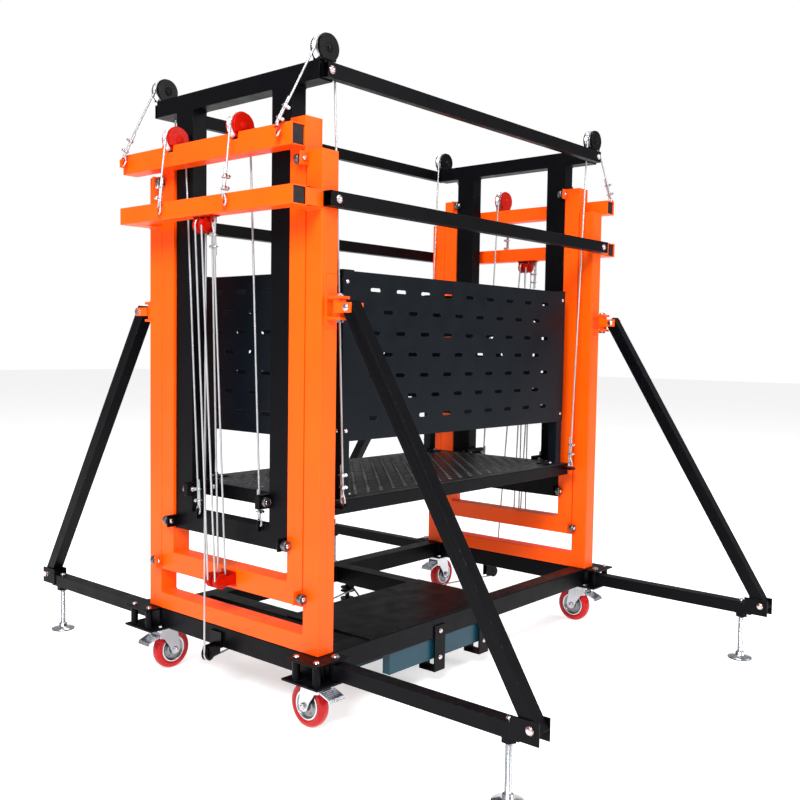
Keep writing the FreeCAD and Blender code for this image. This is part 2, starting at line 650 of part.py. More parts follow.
def lead_ropes():
    """Both leads: upper block, base sheave, turning sheave, drum."""
    shapes = []
    leads = (
        (mast_point(UPPER_BLOCK_D + BLOCK_ROPE_R, NEAR_LEAD_Y, NEAR_SHEAVE_Z), NEAR_LEAD_Y, 1),
        (half_turn_point(mast_point(UPPER_BLOCK_D + BLOCK_ROPE_R, -FAR_LEAD_BOTTOM_Y, FAR_SHEAVE_Z)),
         FAR_LEAD_TOP_Y, -1),
    )
    heights = []
    for foot, top_y, side in leads:
        centre = V(TURN_X, TURN_Y, foot.z - BLOCK_ROPE_R)
        heights.append(centre.z)
        spread = math.hypot(centre.x - foot.x, centre.y - foot.y)
        aim = math.atan2(centre.y - foot.y, centre.x - foot.x) - side * math.asin(TURN_RADIUS / spread)
        touch = centre + V(-math.sin(aim), math.cos(aim), 0) * (side * TURN_RADIUS)
        shapes += lead_run(foot, touch, math.degrees(aim), side)
        block = V(foot.x + side * -BLOCK_ROPE_R, top_y, UPPER_BLOCK_Z)
        top = V(foot.x, top_y, UPPER_BLOCK_Z)
        shapes.append(straight_rope(foot, top, 1.0))
        shapes.append(rope_over(block, BLOCK_ROPE_R, 0, 180))
        drum = V((DRUM_X0 + DRUM_X1) / 2 - side * 40, WINCH_Y, WINCH_Z - DRUM_R - ROPE_R - 1)
        reach = math.hypot(drum.x - centre.x, drum.y - centre.y)
        heading = math.atan2(drum.y - centre.y, drum.x - centre.x) - side * math.asin(TURN_RADIUS / reach)
        leave = centre + V(-math.sin(heading), math.cos(heading), 0) * (side * TURN_RADIUS)
        shapes.append(straight_rope(leave, drum))
        section = Part.Face(Part.Wire(Part.makeCircle(ROPE_R, touch, V(math.cos(aim), math.sin(aim), 0))))
        turn = math.degrees(side * (aim - heading)) % 360
        shapes.append(section.revolve(centre, Z_AXIS * -side, turn))
    return shapes + [turning_sheaves(heights)]


def half_turn_point(point):
    return V(-point.x, -point.y, point.z)


def winch_body():
    """The winch: two rails, two end plates, a motor and a gearbox."""
    rails = [box(-430, 60, -372, -345, 84, 146), box(-430, 60, -60, -40, 100, 146)]
    plates = []
    for x in (DRUM_X0 - 8, DRUM_X1 + 2):
        plate = box(x, x + 6, -345, -60, 100, 146)
        boss = rod(V(x, WINCH_Y, WINCH_Z), X_AXIS, 48, 6)
        bore = rod(V(x - 1, WINCH_Y, WINCH_Z), X_AXIS, 12 + RUN_CLEARANCE, 8)
        plates.append(cut(fused([plate, boss]), [bore]))
    motor = rod(V(DRUM_X0 - 190, WINCH_Y, WINCH_Z), X_AXIS, 54, 182)
    motor = cut(motor, [rod(V(DRUM_X0 - 30, WINCH_Y, WINCH_Z), X_AXIS, 14, 23)])
    gearbox = box(DRUM_X1 + 8, DRUM_X1 + 100, WINCH_Y - 60, WINCH_Y + 60, 64, 182)
    gearbox = cut(gearbox, [rod(V(DRUM_X1 + 7, WINCH_Y, WINCH_Z), X_AXIS, 14, 24)])
    return [fused(rails + plates + [motor, gearbox])]


def winch_drum():
    """The grooved drum with its three flanges and shaft."""
    centre = V(DRUM_X0, WINCH_Y, WINCH_Z)
    width = DRUM_X1 - DRUM_X0
    middle = width / 2
    profile = [(0, -26), (12, -26), (12, 0), (58, 0), (58, 4), (DRUM_R, 4), (DRUM_R, middle - 2),
               (58, middle - 2), (58, middle + 2), (DRUM_R, middle + 2), (DRUM_R, width - 4),
               (58, width - 4), (58, width), (12, width), (12, width + 26), (0, width + 26)]
    return [revolved(profile, centre, X_AXIS)]


# ---- hoist blocks and falls ----------------------------------------------------------------------
def upper_point(y, z, side=0.0):
    return mast_point(UPPER_BLOCK_D + side * BLOCK_ROPE_R, y, z)


def lower_point(y, z, side=0.0):
    return mast_point(LOWER_BLOCK_D + side * BLOCK_ROPE_R, y, z)


def block_wheels(place, ys, z):
    return [sheave(place(y, z), BLOCK_SHEAVE_R, BLOCK_ROPE_R, BLOCK_HALF_WIDTH, AXLE_R - RUN_CLEARANCE)
            for y in ys]


def upper_block():
    """Two fixed sheaves under the outer crossbar, with a dead-end eye beside them."""
    under = OUTER_CROSSBAR_Z
    parts = block_wheels(upper_point, UPPER_SHEAVE_YS, UPPER_BLOCK_Z)
    for y in (31.5, 6.5, -19.5):
        plate = mast_box(UPPER_BLOCK_D - 14, UPPER_BLOCK_D + 14, y, y + BLOCK_CHEEK, UPPER_BLOCK_Z, under)
        boss = rod(upper_point(y, UPPER_BLOCK_Z), Y_AXIS, 14, BLOCK_CHEEK)
        parts += [plate, boss]
    parts.append(rod(upper_point(-23, UPPER_BLOCK_Z), Y_AXIS, AXLE_R, 61))
    parts.append(hex_head(upper_point(-19.5, UPPER_BLOCK_Z), V(0, -1, 0), 17, 4))
    parts.append(mast_box(UPPER_BLOCK_D - 15, UPPER_BLOCK_D + 15, -44, 38, under - 3, under))
    eye = eye_lug(upper_point(DEAD_END_Y, DEAD_EYE_Z), (-9, 9), (-9, under - DEAD_EYE_Z), 5.0, 4.5)
    ring = Part.makeTorus(8.0, 2.2, upper_point(DEAD_END_Y, DEAD_EYE_Z - 8), X_AXIS)
    return [fused(parts + [eye]), ring]


def lower_block():
    """Two sheaves on brackets welded to the middle stage's bottom bar."""
    parts = block_wheels(lower_point, LOWER_SHEAVE_YS, LOWER_BLOCK_Z)
    for y in (13.5, -13.5, -40.5):
        arm = mast_box(LOWER_BLOCK_D, 0, y, y + BLOCK_CHEEK, LOWER_BLOCK_Z - 14, LOWER_BLOCK_Z + 14)
        boss = rod(lower_point(y, LOWER_BLOCK_Z), Y_AXIS, 14, BLOCK_CHEEK)
        parts += [arm, boss]
    parts.append(rod(lower_point(-44, LOWER_BLOCK_Z), Y_AXIS, AXLE_R, 64))
    parts.append(hex_head(lower_point(-40.5, LOWER_BLOCK_Z), V(0, -1, 0), 17, 5))
    parts.append(mast_box(-4, 0, -44, 20, LOWER_BLOCK_Z - 20, LOWER_BLOCK_Z + 22))
    return [fused(parts)]


def hoist_falls():
    """The four rope falls of one tackle, drawn for the near mast."""
    first, second = UPPER_SHEAVE_YS
    left, right = LOWER_SHEAVE_YS
    runs = [(upper_point(first, UPPER_BLOCK_Z, -1), lower_point(left, LOWER_BLOCK_Z, -1)),
            (upper_point(second, UPPER_BLOCK_Z, 1), lower_point(left, LOWER_BLOCK_Z, 1)),
            (upper_point(second, UPPER_BLOCK_Z, -1), lower_point(right, LOWER_BLOCK_Z, -1)),
            (upper_point(DEAD_END_Y, DEAD_ROPE_TOP), lower_point(right, LOWER_BLOCK_Z, 1))]
    return [straight_rope(top, bottom, 1.0) for top, bottom in runs]


# ---- stage ropes ---------------------------------------------------------------------------------
def front_middle_ropes():
    """From the outer crossbar's lugs up to the middle sheaves."""
    runs = []
    for y in MIDDLE_SHEAVE_YS:
        foot = mast_point(LUG_D, y + LUG_SHIFT, LUG_Z + 22)
        runs.append(straight_rope(foot, middle_sheave_centre(y) - X_AXIS * SHEAVE_ROPE_R, 1.5))
    return both_masts(runs)


def rear_middle_ropes():
    """From the middle sheaves down to the inner stage's bottom bar."""
    foot_z = INNER_BOTTOM + INNER_BAR_HEIGHT + ANCHOR_EYE_RISE + 16
    runs = []
    for sheave_y, anchor_y in zip(MIDDLE_SHEAVE_YS, INNER_ANCHOR_YS):
        centre = middle_sheave_centre(sheave_y)
        top = centre + X_AXIS * SHEAVE_ROPE_R
        runs.append(straight_rope(top, mast_point(INNER_ANCHOR_D, anchor_y, foot_z)))
    return both_masts(runs)


def front_inner_ropes(hook_y):
    """From one middle crossbar's hooks up to the inner stage's sheaves, near mast."""
    runs = []
    for foot_y, sheave_y in zip((hook_y, INNER_HOOK_Y), INNER_SHEAVE_YS):
        foot = mast_point(HOOK_D, foot_y, HOOK_EYE_Z + 23)
        top = inner_sheave_centre(sheave_y) - X_AXIS * SHEAVE_ROPE_R
        runs.append(straight_rope(foot, top, 1.5))
    return runs


def rear_inner_ropes():
    """From the inner stage's sheaves down to the deck's corner lugs."""
    runs = []
    for sheave_y in INNER_SHEAVE_YS:
        top = inner_sheave_centre(sheave_y) + X_AXIS * SHEAVE_ROPE_R
        foot = V(-DECK_ANCHOR_X, math.copysign(DECK_ANCHOR_Y, sheave_y), DECK_BOTTOM + 64)
        runs.append(straight_rope(top, foot, 1.5))
    return both_masts(runs)


def middle_hardware(crossbar_sizes):
    """One mast's middle sheave cheeks and axles, rope lying over them, and rings at the hooks."""
    top, _, _, hook_y = crossbar_sizes
    shapes = []
    for y in MIDDLE_SHEAVE_YS:
        centre = middle_sheave_centre(y)
        shapes += sheave_cheeks(centre, top)
        shapes.append(sheave_axle(centre, SHEAVE_HALF_WIDTH + 6, AXLE_R))
        shapes.append(rope_over(centre, SHEAVE_ROPE_R, 0, 180))
    for y in (hook_y, INNER_HOOK_Y):
        shapes.append(thimble(mast_point(HOOK_D, y, HOOK_EYE_Z)))
    return shapes


def inner_hardware():
    """Inner sheave cheeks and axles, rope lying over them, and rings at the bottom bar."""
    shapes = []
    for y in INNER_SHEAVE_YS:
        centre = inner_sheave_centre(y)
        shapes += sheave_cheeks(centre, INNER_CROSSBAR_Z + INNER_CROSSBAR_HEIGHT)
        shapes.append(sheave_axle(centre, SHEAVE_HALF_WIDTH + 6, AXLE_R))
        shapes.append(rope_over(centre, SHEAVE_ROPE_R, 0, 180))
    for y in INNER_ANCHOR_YS:
        eye_z = INNER_BOTTOM + INNER_BAR_HEIGHT + ANCHOR_EYE_RISE
        shapes.append(thimble(mast_point(INNER_ANCHOR_D - 0.5, y, eye_z), 6.0))
    return both_masts(shapes)


# ---- carriage ------------------------------------------------------------------------------------
def carriage_arm_y():
    """The arms' inner and outer faces, inside the inner stage's window."""
    return 152.0, INNER_HALF_WIDTH - INNER_UPRIGHT_WIDTH - 3.5


def carriage_arm_z():
    return DECK_BOTTOM + 35.0


def deck_frame():
    """The deck's tube frame with its four guide arms and rope lugs."""
    top = DECK_BOTTOM + DECK_TUBE
    members = [
        (-DECK_HALF_LENGTH, -DECK_HALF_LENGTH + DECK_TUBE, -DECK_HALF_WIDTH, DECK_HALF_WIDTH),
        (DECK_HALF_LENGTH - DECK_TUBE, DECK_HALF_LENGTH, -DECK_HALF_WIDTH, DECK_HALF_WIDTH),
        (-DECK_HALF_LENGTH, DECK_HALF_LENGTH, DECK_HALF_WIDTH - DECK_TUBE, DECK_HALF_WIDTH),
        (-DECK_HALF_LENGTH, DECK_HALF_LENGTH, -DECK_HALF_WIDTH, -DECK_HALF_WIDTH + DECK_TUBE),
        (-220, -180, -DECK_HALF_WIDTH + 10, DECK_HALF_WIDTH - 10),
        (180, 220, -DECK_HALF_WIDTH + 10, DECK_HALF_WIDTH - 10),
    ]
    outers = [box(x0, x1, y0, y1, DECK_BOTTOM, top) for x0, x1, y0, y1 in members]
    inners = [box(x0 + 2.5, x1 - 2.5, y0 + 2.5, y1 - 2.5, DECK_BOTTOM + 2.5, top - 2.5)
              for x0, x1, y0, y1 in members]
    drains = [rod(V(x, 0, DECK_BOTTOM - 1), Z_AXIS, 4, 5) for x in (-615, 615)]
    frame = welded(outers, inners, drains)
    return fused([frame] + both_ends(both_sides([guide_arm(), rope_lug()])))


def guide_arm():
    """The flat bar that reaches from the deck through the inner stage, near +Y."""
    low, high = carriage_arm_y()
    mid = carriage_arm_z()
    arm = mast_box(-26, HALF_LENGTH - DECK_HALF_LENGTH, low, high, mid - 20, mid + 20)
    holes = []
    for ride, out in ((INNER_FRONT, -1), (INNER_REAR, 1)):
        axle_d = ride + out * (GUIDE_R + GUIDE_GAP)
        holes.append(rod(mast_point(axle_d, low - 1, mid), Y_AXIS, 5, high - low + 2))
    return cut(arm, holes)


def rope_lug():
    """The lug on the deck's side that a carriage rope hangs from, near +Y."""
    lug = box(-DECK_ANCHOR_X - 15, -DECK_ANCHOR_X + 15, DECK_HALF_WIDTH, DECK_ANCHOR_Y + 15,
              DECK_BOTTOM + 23, DECK_BOTTOM + 31)
    return cut(lug, [rod(V(-DECK_ANCHOR_X, DECK_ANCHOR_Y, DECK_BOTTOM), Z_AXIS, 5, 50)])


def deck_plate():
    reach_x = DECK_HALF_LENGTH - 1
    reach_y = DECK_HALF_WIDTH - 1
    return box(-reach_x, reach_x, -reach_y, reach_y, DECK_BOTTOM + DECK_TUBE, DECK_TOP)


def guard_posts():
    """Four corner posts on foot plates."""
    foot = box(-POST_END, -POST_END + 65, POST_SIDE - 65, POST_SIDE, DECK_TOP, DECK_TOP + 5)
    holes = [rod(V(-POST_END + a, POST_SIDE - b, DECK_TOP - 1), Z_AXIS, 5, 8)
             for a, b in ((50, 18), (18, 50))]
    outer = box(-POST_END, -POST_END + POST_SIZE, POST_SIDE - POST_SIZE, POST_SIDE,
                DECK_TOP + 5, GUARD_TOP)
    inner = box(-POST_END + 2, -POST_END + POST_SIZE - 2, POST_SIDE - POST_SIZE + 2, POST_SIDE - 2,
                DECK_TOP + 4, GUARD_TOP - 2)
    return both_ends(both_sides([fused([cut(foot, holes), outer]).cut(inner)]))


def slot(centre_u, centre_z, plane):
    """A round-ended slot, longer than the sheet is thick."""
    half = (SLOT_LENGTH - SLOT_HEIGHT) / 2
    radius = SLOT_HEIGHT / 2
    top = centre_z + radius
    bottom = centre_z - radius
    edges = [Part.makeLine(plane(centre_u - half, top), plane(centre_u + half, top)),
             Part.Arc(plane(centre_u + half, top), plane(centre_u + half + radius, centre_z),
                      plane(centre_u + half, bottom)).toShape(),
             Part.makeLine(plane(centre_u + half, bottom), plane(centre_u - half, bottom)),
             Part.Arc(plane(centre_u - half, bottom), plane(centre_u - half - radius, centre_z),
                      plane(centre_u - half, top)).toShape()]
    return Part.Wire(edges)


def perforated_sheet(half_width, slots_in_row, plane, normal):
    """A sheet between the guard's bottom and top with staggered rows of slots."""
    corners = [plane(-half_width, PANEL_BOTTOM), plane(half_width, PANEL_BOTTOM),
               plane(half_width, GUARD_TOP), plane(-half_width, GUARD_TOP)]
    face = Part.Face(Part.makePolygon(corners + corners[:1]))
    middle = (PANEL_BOTTOM + GUARD_TOP) / 2 + 6
    wires = []
    for row in range(SLOT_ROWS):
        count = slots_in_row - row % 2
        z = middle + ((SLOT_ROWS - 1) / 2 - row) * SLOT_ROW_PITCH
        for k in range(count):
            wires.append(slot((k - (count - 1) / 2) * SLOT_PITCH, z, plane))
    holes = [Part.Face(wire).extrude(normal * PANEL_THICKNESS) for wire in wires]
    return face.extrude(normal * PANEL_THICKNESS).cut(holes)


def side_panel():
    """The long guard panel on the +Y side, with folded lips along its top and bottom."""
    sheet = perforated_sheet(POST_END, 9, lambda u, z: V(u, POST_SIDE, z), Y_AXIS)
    reach = POST_END - POST_SIZE - 1
    lips = [box(-reach, reach, POST_SIDE - PANEL_LIP, POST_SIDE, z, z + PANEL_THICKNESS)
            for z in (PANEL_BOTTOM, GUARD_TOP - PANEL_THICKNESS)]
    return fused([sheet] + lips)


def end_panel():
    """The short guard panel at the -X end."""
    sheet = perforated_sheet(POST_SIDE, 5, lambda u, z: V(-POST_END, u, z), V(-1, 0, 0))
    reach = POST_SIDE - POST_SIZE - 1
    lips = [box(-POST_END, -POST_END + PANEL_LIP, -reach, reach, z, z + PANEL_THICKNESS)
            for z in (PANEL_BOTTOM, GUARD_TOP - PANEL_THICKNESS)]
    return fused([sheet] + lips)


def carriage_hardware():
    """Foot bolts, panel bolts, corner latches and the rings at the rope lugs."""
    corner = []
    for a, b in ((50, 18), (18, 50)):
        corner.append(hex_head(V(-POST_END + a, POST_SIDE - b, DECK_TOP + 5), Z_AXIS, 14, 6))
    for z in (PANEL_BOTTOM + 30, GUARD_TOP - 30):
        corner.append(domed_bolt(V(-POST_END + 17, POST_SIDE + PANEL_THICKNESS, z), Y_AXIS, 6, 4))
        corner.append(domed_bolt(V(-POST_END - PANEL_THICKNESS, POST_SIDE - 17, z), V(-1, 0, 0), 6, 4))
    latch = box(-POST_END - 3, -POST_END + 42, POST_SIDE - 38, POST_SIDE + 3, GUARD_TOP, GUARD_TOP + 3)
    corner.append(latch)
    ring_z = DECK_BOTTOM + 31
    ring = Part.makeTorus(8.0, 2.4, V(-DECK_ANCHOR_X, DECK_ANCHOR_Y, ring_z + 11), X_AXIS)
    corner.append(ring)
    return both_ends(both_sides(corner))


# ---- outriggers ----------------------------------------------------------------------------------
def outrigger():
    """Leg, brace and their pins, drawn with the pivot on the Z axis and the leg along -Y."""
    half = LEG_SIZE / 2
    top = LEG_BOTTOM + LEG_SIZE
    outer = box(-half, half, -LEG_LENGTH, -12, LEG_BOTTOM, top)
    inner = box(-half + WALL, half - WALL, -LEG_LENGTH - 1, -12 - WALL, LEG_BOTTOM + WALL, top - WALL)
    sleeve = rod(V(0, 0, 152), Z_AXIS, 17, 50)
    nut = hex_head(V(0, -FOOT_REACH, LEG_BOTTOM), V(0, 0, -1), 34, 14)
    plates = [box(x, x + 4, -LEG_END, -LEG_LENGTH + 22, 162, 216) for x in (half, -half - 4)]
    screw_bore = rod(V(0, -FOOT_REACH, 100), Z_AXIS, 9 + RUN_CLEARANCE, 200)
    pivot_bore = rod(V(0, 0, 100), Z_AXIS, PIVOT_R + RUN_CLEARANCE, 200)
    foot_hole = rod(V(-30, -BRACE_FOOT_REACH, BRACE_FOOT_Z), X_AXIS, 6, 60)
    leg = cut(fused([outer.cut(inner), sleeve, nut] + plates), [screw_bore, pivot_bore, foot_hole])

    block = rod(V(0, 0, BRACE_HINGE_Z - 22), Z_AXIS, 17, 44)
    ear_low = BRACE_HINGE_Z - EAR_HALF_HEIGHT
    ear_high = BRACE_HINGE_Z + EAR_HALF_HEIGHT
    ears = [box(x, x + 5, -62, -2, ear_low, ear_high) for x in (19.5, -24.5)]
    neck = box(-24.5, 24.5, -15, -2, ear_low, ear_high)
    top_bore = rod(V(0, 0, BRACE_HINGE_Z - 30), Z_AXIS, PIVOT_R + RUN_CLEARANCE, 60)
    top_hole = rod(V(-30, -BRACE_TOP_REACH, BRACE_HINGE_Z), X_AXIS, 6, 60)
    swivel = cut(fused([block, neck] + ears), [top_bore, top_hole])
    bolts = [cross_bolt(-BRACE_TOP_REACH, BRACE_HINGE_Z, 24.5),
             cross_bolt(-BRACE_FOOT_REACH, BRACE_FOOT_Z, 24)]
    return [leg, swivel, brace()] + bolts


def brace():
    """The diagonal square tube between its two bolts."""
    foot = V(0, -BRACE_FOOT_REACH, BRACE_FOOT_Z)
    top = V(0, -BRACE_TOP_REACH, BRACE_HINGE_Z)
    run = top - foot
    length = run.Length
    half = BRACE_SIZE / 2
    outer = box(-half, half, -half, half, -16, length + 12)
    inner = box(-half + 2.5, half - 2.5, -half + 2.5, half - 2.5, -17, length + 13)
    tube = outer.cut(inner)
    for z in (0, length):
        tube = tube.cut(rod(V(-30, 0, z), X_AXIS, 6, 60))
    lean = math.degrees(math.atan2(run.y, run.z))
    tube.rotate(V(0, 0, 0), X_AXIS, -lean)
    tube.translate(foot)
    return tube


def cross_bolt(y, z, half_grip):
    """A bolt along X with a domed head and a nut."""
    shaft = rod(V(-half_grip, y, z), X_AXIS, 6, 2 * half_grip)
    head = domed_bolt(V(-half_grip, y, z), V(-1, 0, 0), 10, 6)
    nut = hex_head(V(half_grip, y, z), X_AXIS, 18, 8)
    return fused([shaft, head, nut])


def foot():
    """The screw foot under an outrigger, drawn in the outrigger's own frame."""
    profile = [(0, 0), (40, 0), (40, 5), (16, 11), (12, 20), (9, 22), (9, 203), (0, 203)]
    return [revolved(profile, V(0, -FOOT_REACH, 0), Z_AXIS)]


def placed_outrigger(shapes, x_sign, y_sign):
    """Move shapes drawn about the pivot to one corner of the base."""
    placed = []
    for shape in shapes:
        moved = shape.copy()
        if y_sign > 0:
            moved.rotate(V(0, 0, 0), Z_AXIS, 180)
        moved.translate(V(x_sign * (HALF_LENGTH - PIVOT_D), y_sign * PIVOT_Y, 0))
        placed.append(moved)
    return placed


# ---- casters -------------------------------------------------------------------------------------
def caster_fork():
    """The swivelling fork, drawn with the swivel axis on Z and the wheel trailing to +X."""
    crown = rod(V(0, 0, 130), Z_AXIS, 28, 4)
    bridge = box(-30, 34, -FORK_GAP - 3, FORK_GAP + 3, 130, 134)
    race = rod(V(0, 0, 134), Z_AXIS, 30, 3)
    outline = [(-30, 134), (34, 134), (46, 66), (40, 52), (CASTER_TRAIL, 47), (16, 52), (6, 76),
               (-14, 104), (-30, 108)]
    cheeks = []
    for y in (-FORK_GAP - 3, FORK_GAP):
        points = [V(x, y, z) for x, z in outline]
        cheeks.append(Part.Face(Part.makePolygon(points + points[:1])).extrude(Y_AXIS * 3))
    axle = rod(V(CASTER_TRAIL, -FORK_GAP - 9, WHEEL_R), Y_AXIS, 6, 2 * FORK_GAP + 18)
    ends = [hex_head(V(CASTER_TRAIL, FORK_GAP + 3, WHEEL_R), Y_AXIS, 17, 7),
            hex_head(V(CASTER_TRAIL, -FORK_GAP - 3, WHEEL_R), V(0, -1, 0), 17, 7)]
    pin = rod(V(PEDAL_PIVOT[0], -FORK_GAP - 3, PEDAL_PIVOT[1]), Y_AXIS, 4, 2 * FORK_GAP + 6)
    body = fused([crown, bridge, race] + cheeks + [axle, pin] + ends)
    return [body.cut(rod(V(0, 0, 120), Z_AXIS, 6 + RUN_CLEARANCE, 30))]


def caster_wheel():
    """The tyred wheel with a recessed hub."""
    half = WHEEL_HALF_WIDTH
    bore = 6 + RUN_CLEARANCE
    profile = [(bore, -20), (15, -20), (15, -10), (38, -8), (38, -half + 1), (44, -half),
               (56, -half), (61, -half + 4), (WHEEL_R, -half + 8), (WHEEL_R, half - 8),
               (61, half - 4), (56, half), (44, half), (38, half - 1), (38, 8), (15, 10), (15, 20),
               (bore, 20)]
    return [revolved(profile, V(CASTER_TRAIL, 0, WHEEL_R), Y_AXIS)]


def caster_brake():
    """The brake pedal, hung on its pin over the wheel."""
    px, pz = PEDAL_PIVOT
    sleeve = rod(V(px, -20, pz), Y_AXIS, 8, 40)
    arm = box(px - 22, px, -20, 20, pz - 4, pz + 1)
    points = [V(px - 16, 0, pz + 1), V(px - 52, 0, pz - 12), V(px - 56, 0, pz - 22),
              V(px - 53, 0, pz - 23), V(px - 49, 0, pz - 15), V(px - 16, 0, pz - 4)]
    pedal = Part.Face(Part.makePolygon(points + points[:1])).extrude(Y_AXIS * 56)
    pedal.translate(V(0, -28, 0))
    bore = rod(V(px, -30, pz), Y_AXIS, 4 + RUN_CLEARANCE, 60)
    return [fused([sleeve, arm, pedal]).cut(bore)]


def placed_caster(shapes, x_sign, y_sign, heading):
    """Turn a caster to its resting heading and move it to one corner."""
    placed = []
    for shape in shapes:
        moved = shape.copy()
        moved.rotate(V(0, 0, 0), Z_AXIS, heading)
        moved.translate(V(x_sign * (HALF_LENGTH - CASTER_D), y_sign * CASTER_Y, 0))
        placed.append(moved)
    return placed


# ---- assembly ------------------------------------------------------------------------------------
CORNERS = (
    ("near_right", -1, -1, 90),
    ("near_left", -1, 1, 0),
    ("far_right", 1, -1, 90),
    ("far_left", 1, 1, 0),
)


def fixed_parts():
    frame = outer_frame()
    upper = upper_block()
    hangers = [winch_hanger(x) for x in HANGER_XS]
    return {
        "base_frame": [base_frame()],
        "cover_plate": [cover_plate()],
        "base_brackets": both_ends(both_sides([corner_bracket()])) + hangers,
        "near_outer_frame": [frame],
        "far_outer_frame": [half_turn(frame)],
        "lower_tie_tubes": tie_tubes(HALF_WIDTH, LOWER_TIE_WIDTH, OUTER_CROSSBAR_Z + 5,
                                     HALF_LENGTH - 3, TIE_BOLT_D),
        "winch_body": winch_body(),
        "winch_drum": winch_drum(),
        "upper_blocks": upper + far_blocks(upper),
        "outer_guide_rollers": outer_guide_rollers(),
        "base_fasteners": base_fasteners(),
        "lead_rope_run": lead_ropes(),
    }


def far_blocks(shapes):
    """The far mast's tackle: mirrored along X and shifted to its own lead."""
    moved = []
    for shape in shapes:
        copy = mirrored_x(shape)
        copy.translate(V(0, FAR_LEAD_TOP_Y - NEAR_LEAD_Y, 0))
        moved.append(copy)
    return moved


def middle_parts():
    lower = lower_block()
    falls = hoist_falls()
    sheaves = [sheave(middle_sheave_centre(y), SHEAVE_R, SHEAVE_ROPE_R, SHEAVE_HALF_WIDTH, AXLE_R)
               for y in MIDDLE_SHEAVE_YS]
    return {
        "near_middle_frame": [middle_frame(NEAR_CROSSBAR)],
        "far_middle_frame": [half_turn(middle_frame(FAR_CROSSBAR))],
        "lower_blocks": lower + far_blocks(lower),
        "middle_guide_rollers": middle_guide_rollers(),
        "middle_hardware": middle_hardware(NEAR_CROSSBAR) + turned(middle_hardware(FAR_CROSSBAR)),
        "near_middle_sheaves": sheaves,
        "far_middle_sheaves": turned(sheaves),
        "hoist_fall_ropes": falls + far_blocks(falls),
        "front_middle_ropes": front_middle_ropes(),
        "rear_middle_ropes": rear_middle_ropes(),
    }


def inner_parts():
    frame = inner_frame()
    sheaves = [sheave(inner_sheave_centre(y), INNER_SHEAVE_R, SHEAVE_ROPE_R, SHEAVE_HALF_WIDTH, AXLE_R)
               for y in INNER_SHEAVE_YS]
    near_ropes = front_inner_ropes(NEAR_CROSSBAR[3])
    far_ropes = front_inner_ropes(FAR_CROSSBAR[3])
    return {
        "near_inner_frame": [frame],
        "far_inner_frame": [half_turn(frame)],
        "upper_tie_tubes": tie_tubes(INNER_CROSSBAR_HALF, UPPER_TIE_WIDTH, INNER_CROSSBAR_Z + 3,
                                     UPPER_TIE_REACH, TIE_BOLT_D),
        "inner_guide_rollers": inner_guide_rollers(),
        "inner_hardware": inner_hardware(),
        "near_inner_sheaves": sheaves,
        "far_inner_sheaves": turned(sheaves),
        "front_inner_ropes": near_ropes + turned(far_ropes),
        "rear_inner_ropes": rear_inner_ropes(),
    }


def carriage_parts():
    side = side_panel()
    end = end_panel()
    return {
        "deck_frame": [deck_frame()],
        "deck_plate": [deck_plate()],
        "guard_posts": guard_posts(),
        "front_guard_panel": [mirrored_y(side)],
        "back_guard_panel": [side],
        "near_guard_panel": [end],
        "far_guard_panel": [mirrored_x(end)],
        "carriage_guide_rollers": carriage_guide_rollers(),
        "carriage_hardware": carriage_hardware(),
    }


def corner_parts():
    parts = {}
    for name, x_sign, y_sign, heading in CORNERS:
        parts[name + "_outrigger"] = placed_outrigger(outrigger(), x_sign, y_sign)
        parts[name + "_foot"] = placed_outrigger(foot(), x_sign, y_sign)
        parts[name + "_fork"] = placed_caster(caster_fork(), x_sign, y_sign, heading)
        parts[name + "_wheel"] = placed_caster(caster_wheel(), x_sign, y_sign, heading)
        parts[name + "_brake"] = placed_caster(caster_brake(), x_sign, y_sign, heading)
    return parts


def export(parts):
    os.makedirs("parts", exist_ok=True)
    for name, shapes in parts.items():
        shape = shapes[0] if len(shapes) == 1 else Part.makeCompound(shapes)
        shape.exportStep("parts/" + name + ".step")


for group in (fixed_parts, middle_parts, inner_parts, carriage_parts, corner_parts):
    export(group())
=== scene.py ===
"""Looks of a two-mast, rope-hoisted work platform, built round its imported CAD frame.

Metres. +X runs from the near mast to the far mast, +Y across the masts, +Z up.
"""

import json
import math
import random

import bmesh
import bpy
from mathutils import Matrix, Vector


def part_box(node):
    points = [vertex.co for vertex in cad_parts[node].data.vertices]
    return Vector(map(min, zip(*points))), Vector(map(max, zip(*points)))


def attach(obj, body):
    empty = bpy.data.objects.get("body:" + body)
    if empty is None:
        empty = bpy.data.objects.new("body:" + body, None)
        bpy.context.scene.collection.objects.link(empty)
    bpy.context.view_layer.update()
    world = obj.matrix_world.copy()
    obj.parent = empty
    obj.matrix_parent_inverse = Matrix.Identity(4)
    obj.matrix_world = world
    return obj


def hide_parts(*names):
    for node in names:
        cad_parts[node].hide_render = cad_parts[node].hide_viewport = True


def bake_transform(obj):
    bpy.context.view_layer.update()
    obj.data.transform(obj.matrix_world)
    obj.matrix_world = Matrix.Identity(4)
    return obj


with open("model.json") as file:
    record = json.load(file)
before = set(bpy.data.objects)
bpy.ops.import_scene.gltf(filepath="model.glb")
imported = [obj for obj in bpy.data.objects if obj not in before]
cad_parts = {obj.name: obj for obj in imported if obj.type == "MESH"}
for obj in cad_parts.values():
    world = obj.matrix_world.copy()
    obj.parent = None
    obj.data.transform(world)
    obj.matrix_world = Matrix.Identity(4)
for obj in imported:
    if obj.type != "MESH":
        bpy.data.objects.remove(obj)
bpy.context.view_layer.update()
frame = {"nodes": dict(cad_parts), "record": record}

NODES = frame["nodes"]
BODIES = frame["record"]["behaviour"]["bodies"]
BODY_OF = {node: body for body, nodes in BODIES.items() for node in nodes}
MM = 0.001
X, Y, Z = Vector((1, 0, 0)), Vector((0, 1, 0)), Vector((0, 0, 1))
RANDOM = random.Random(7)

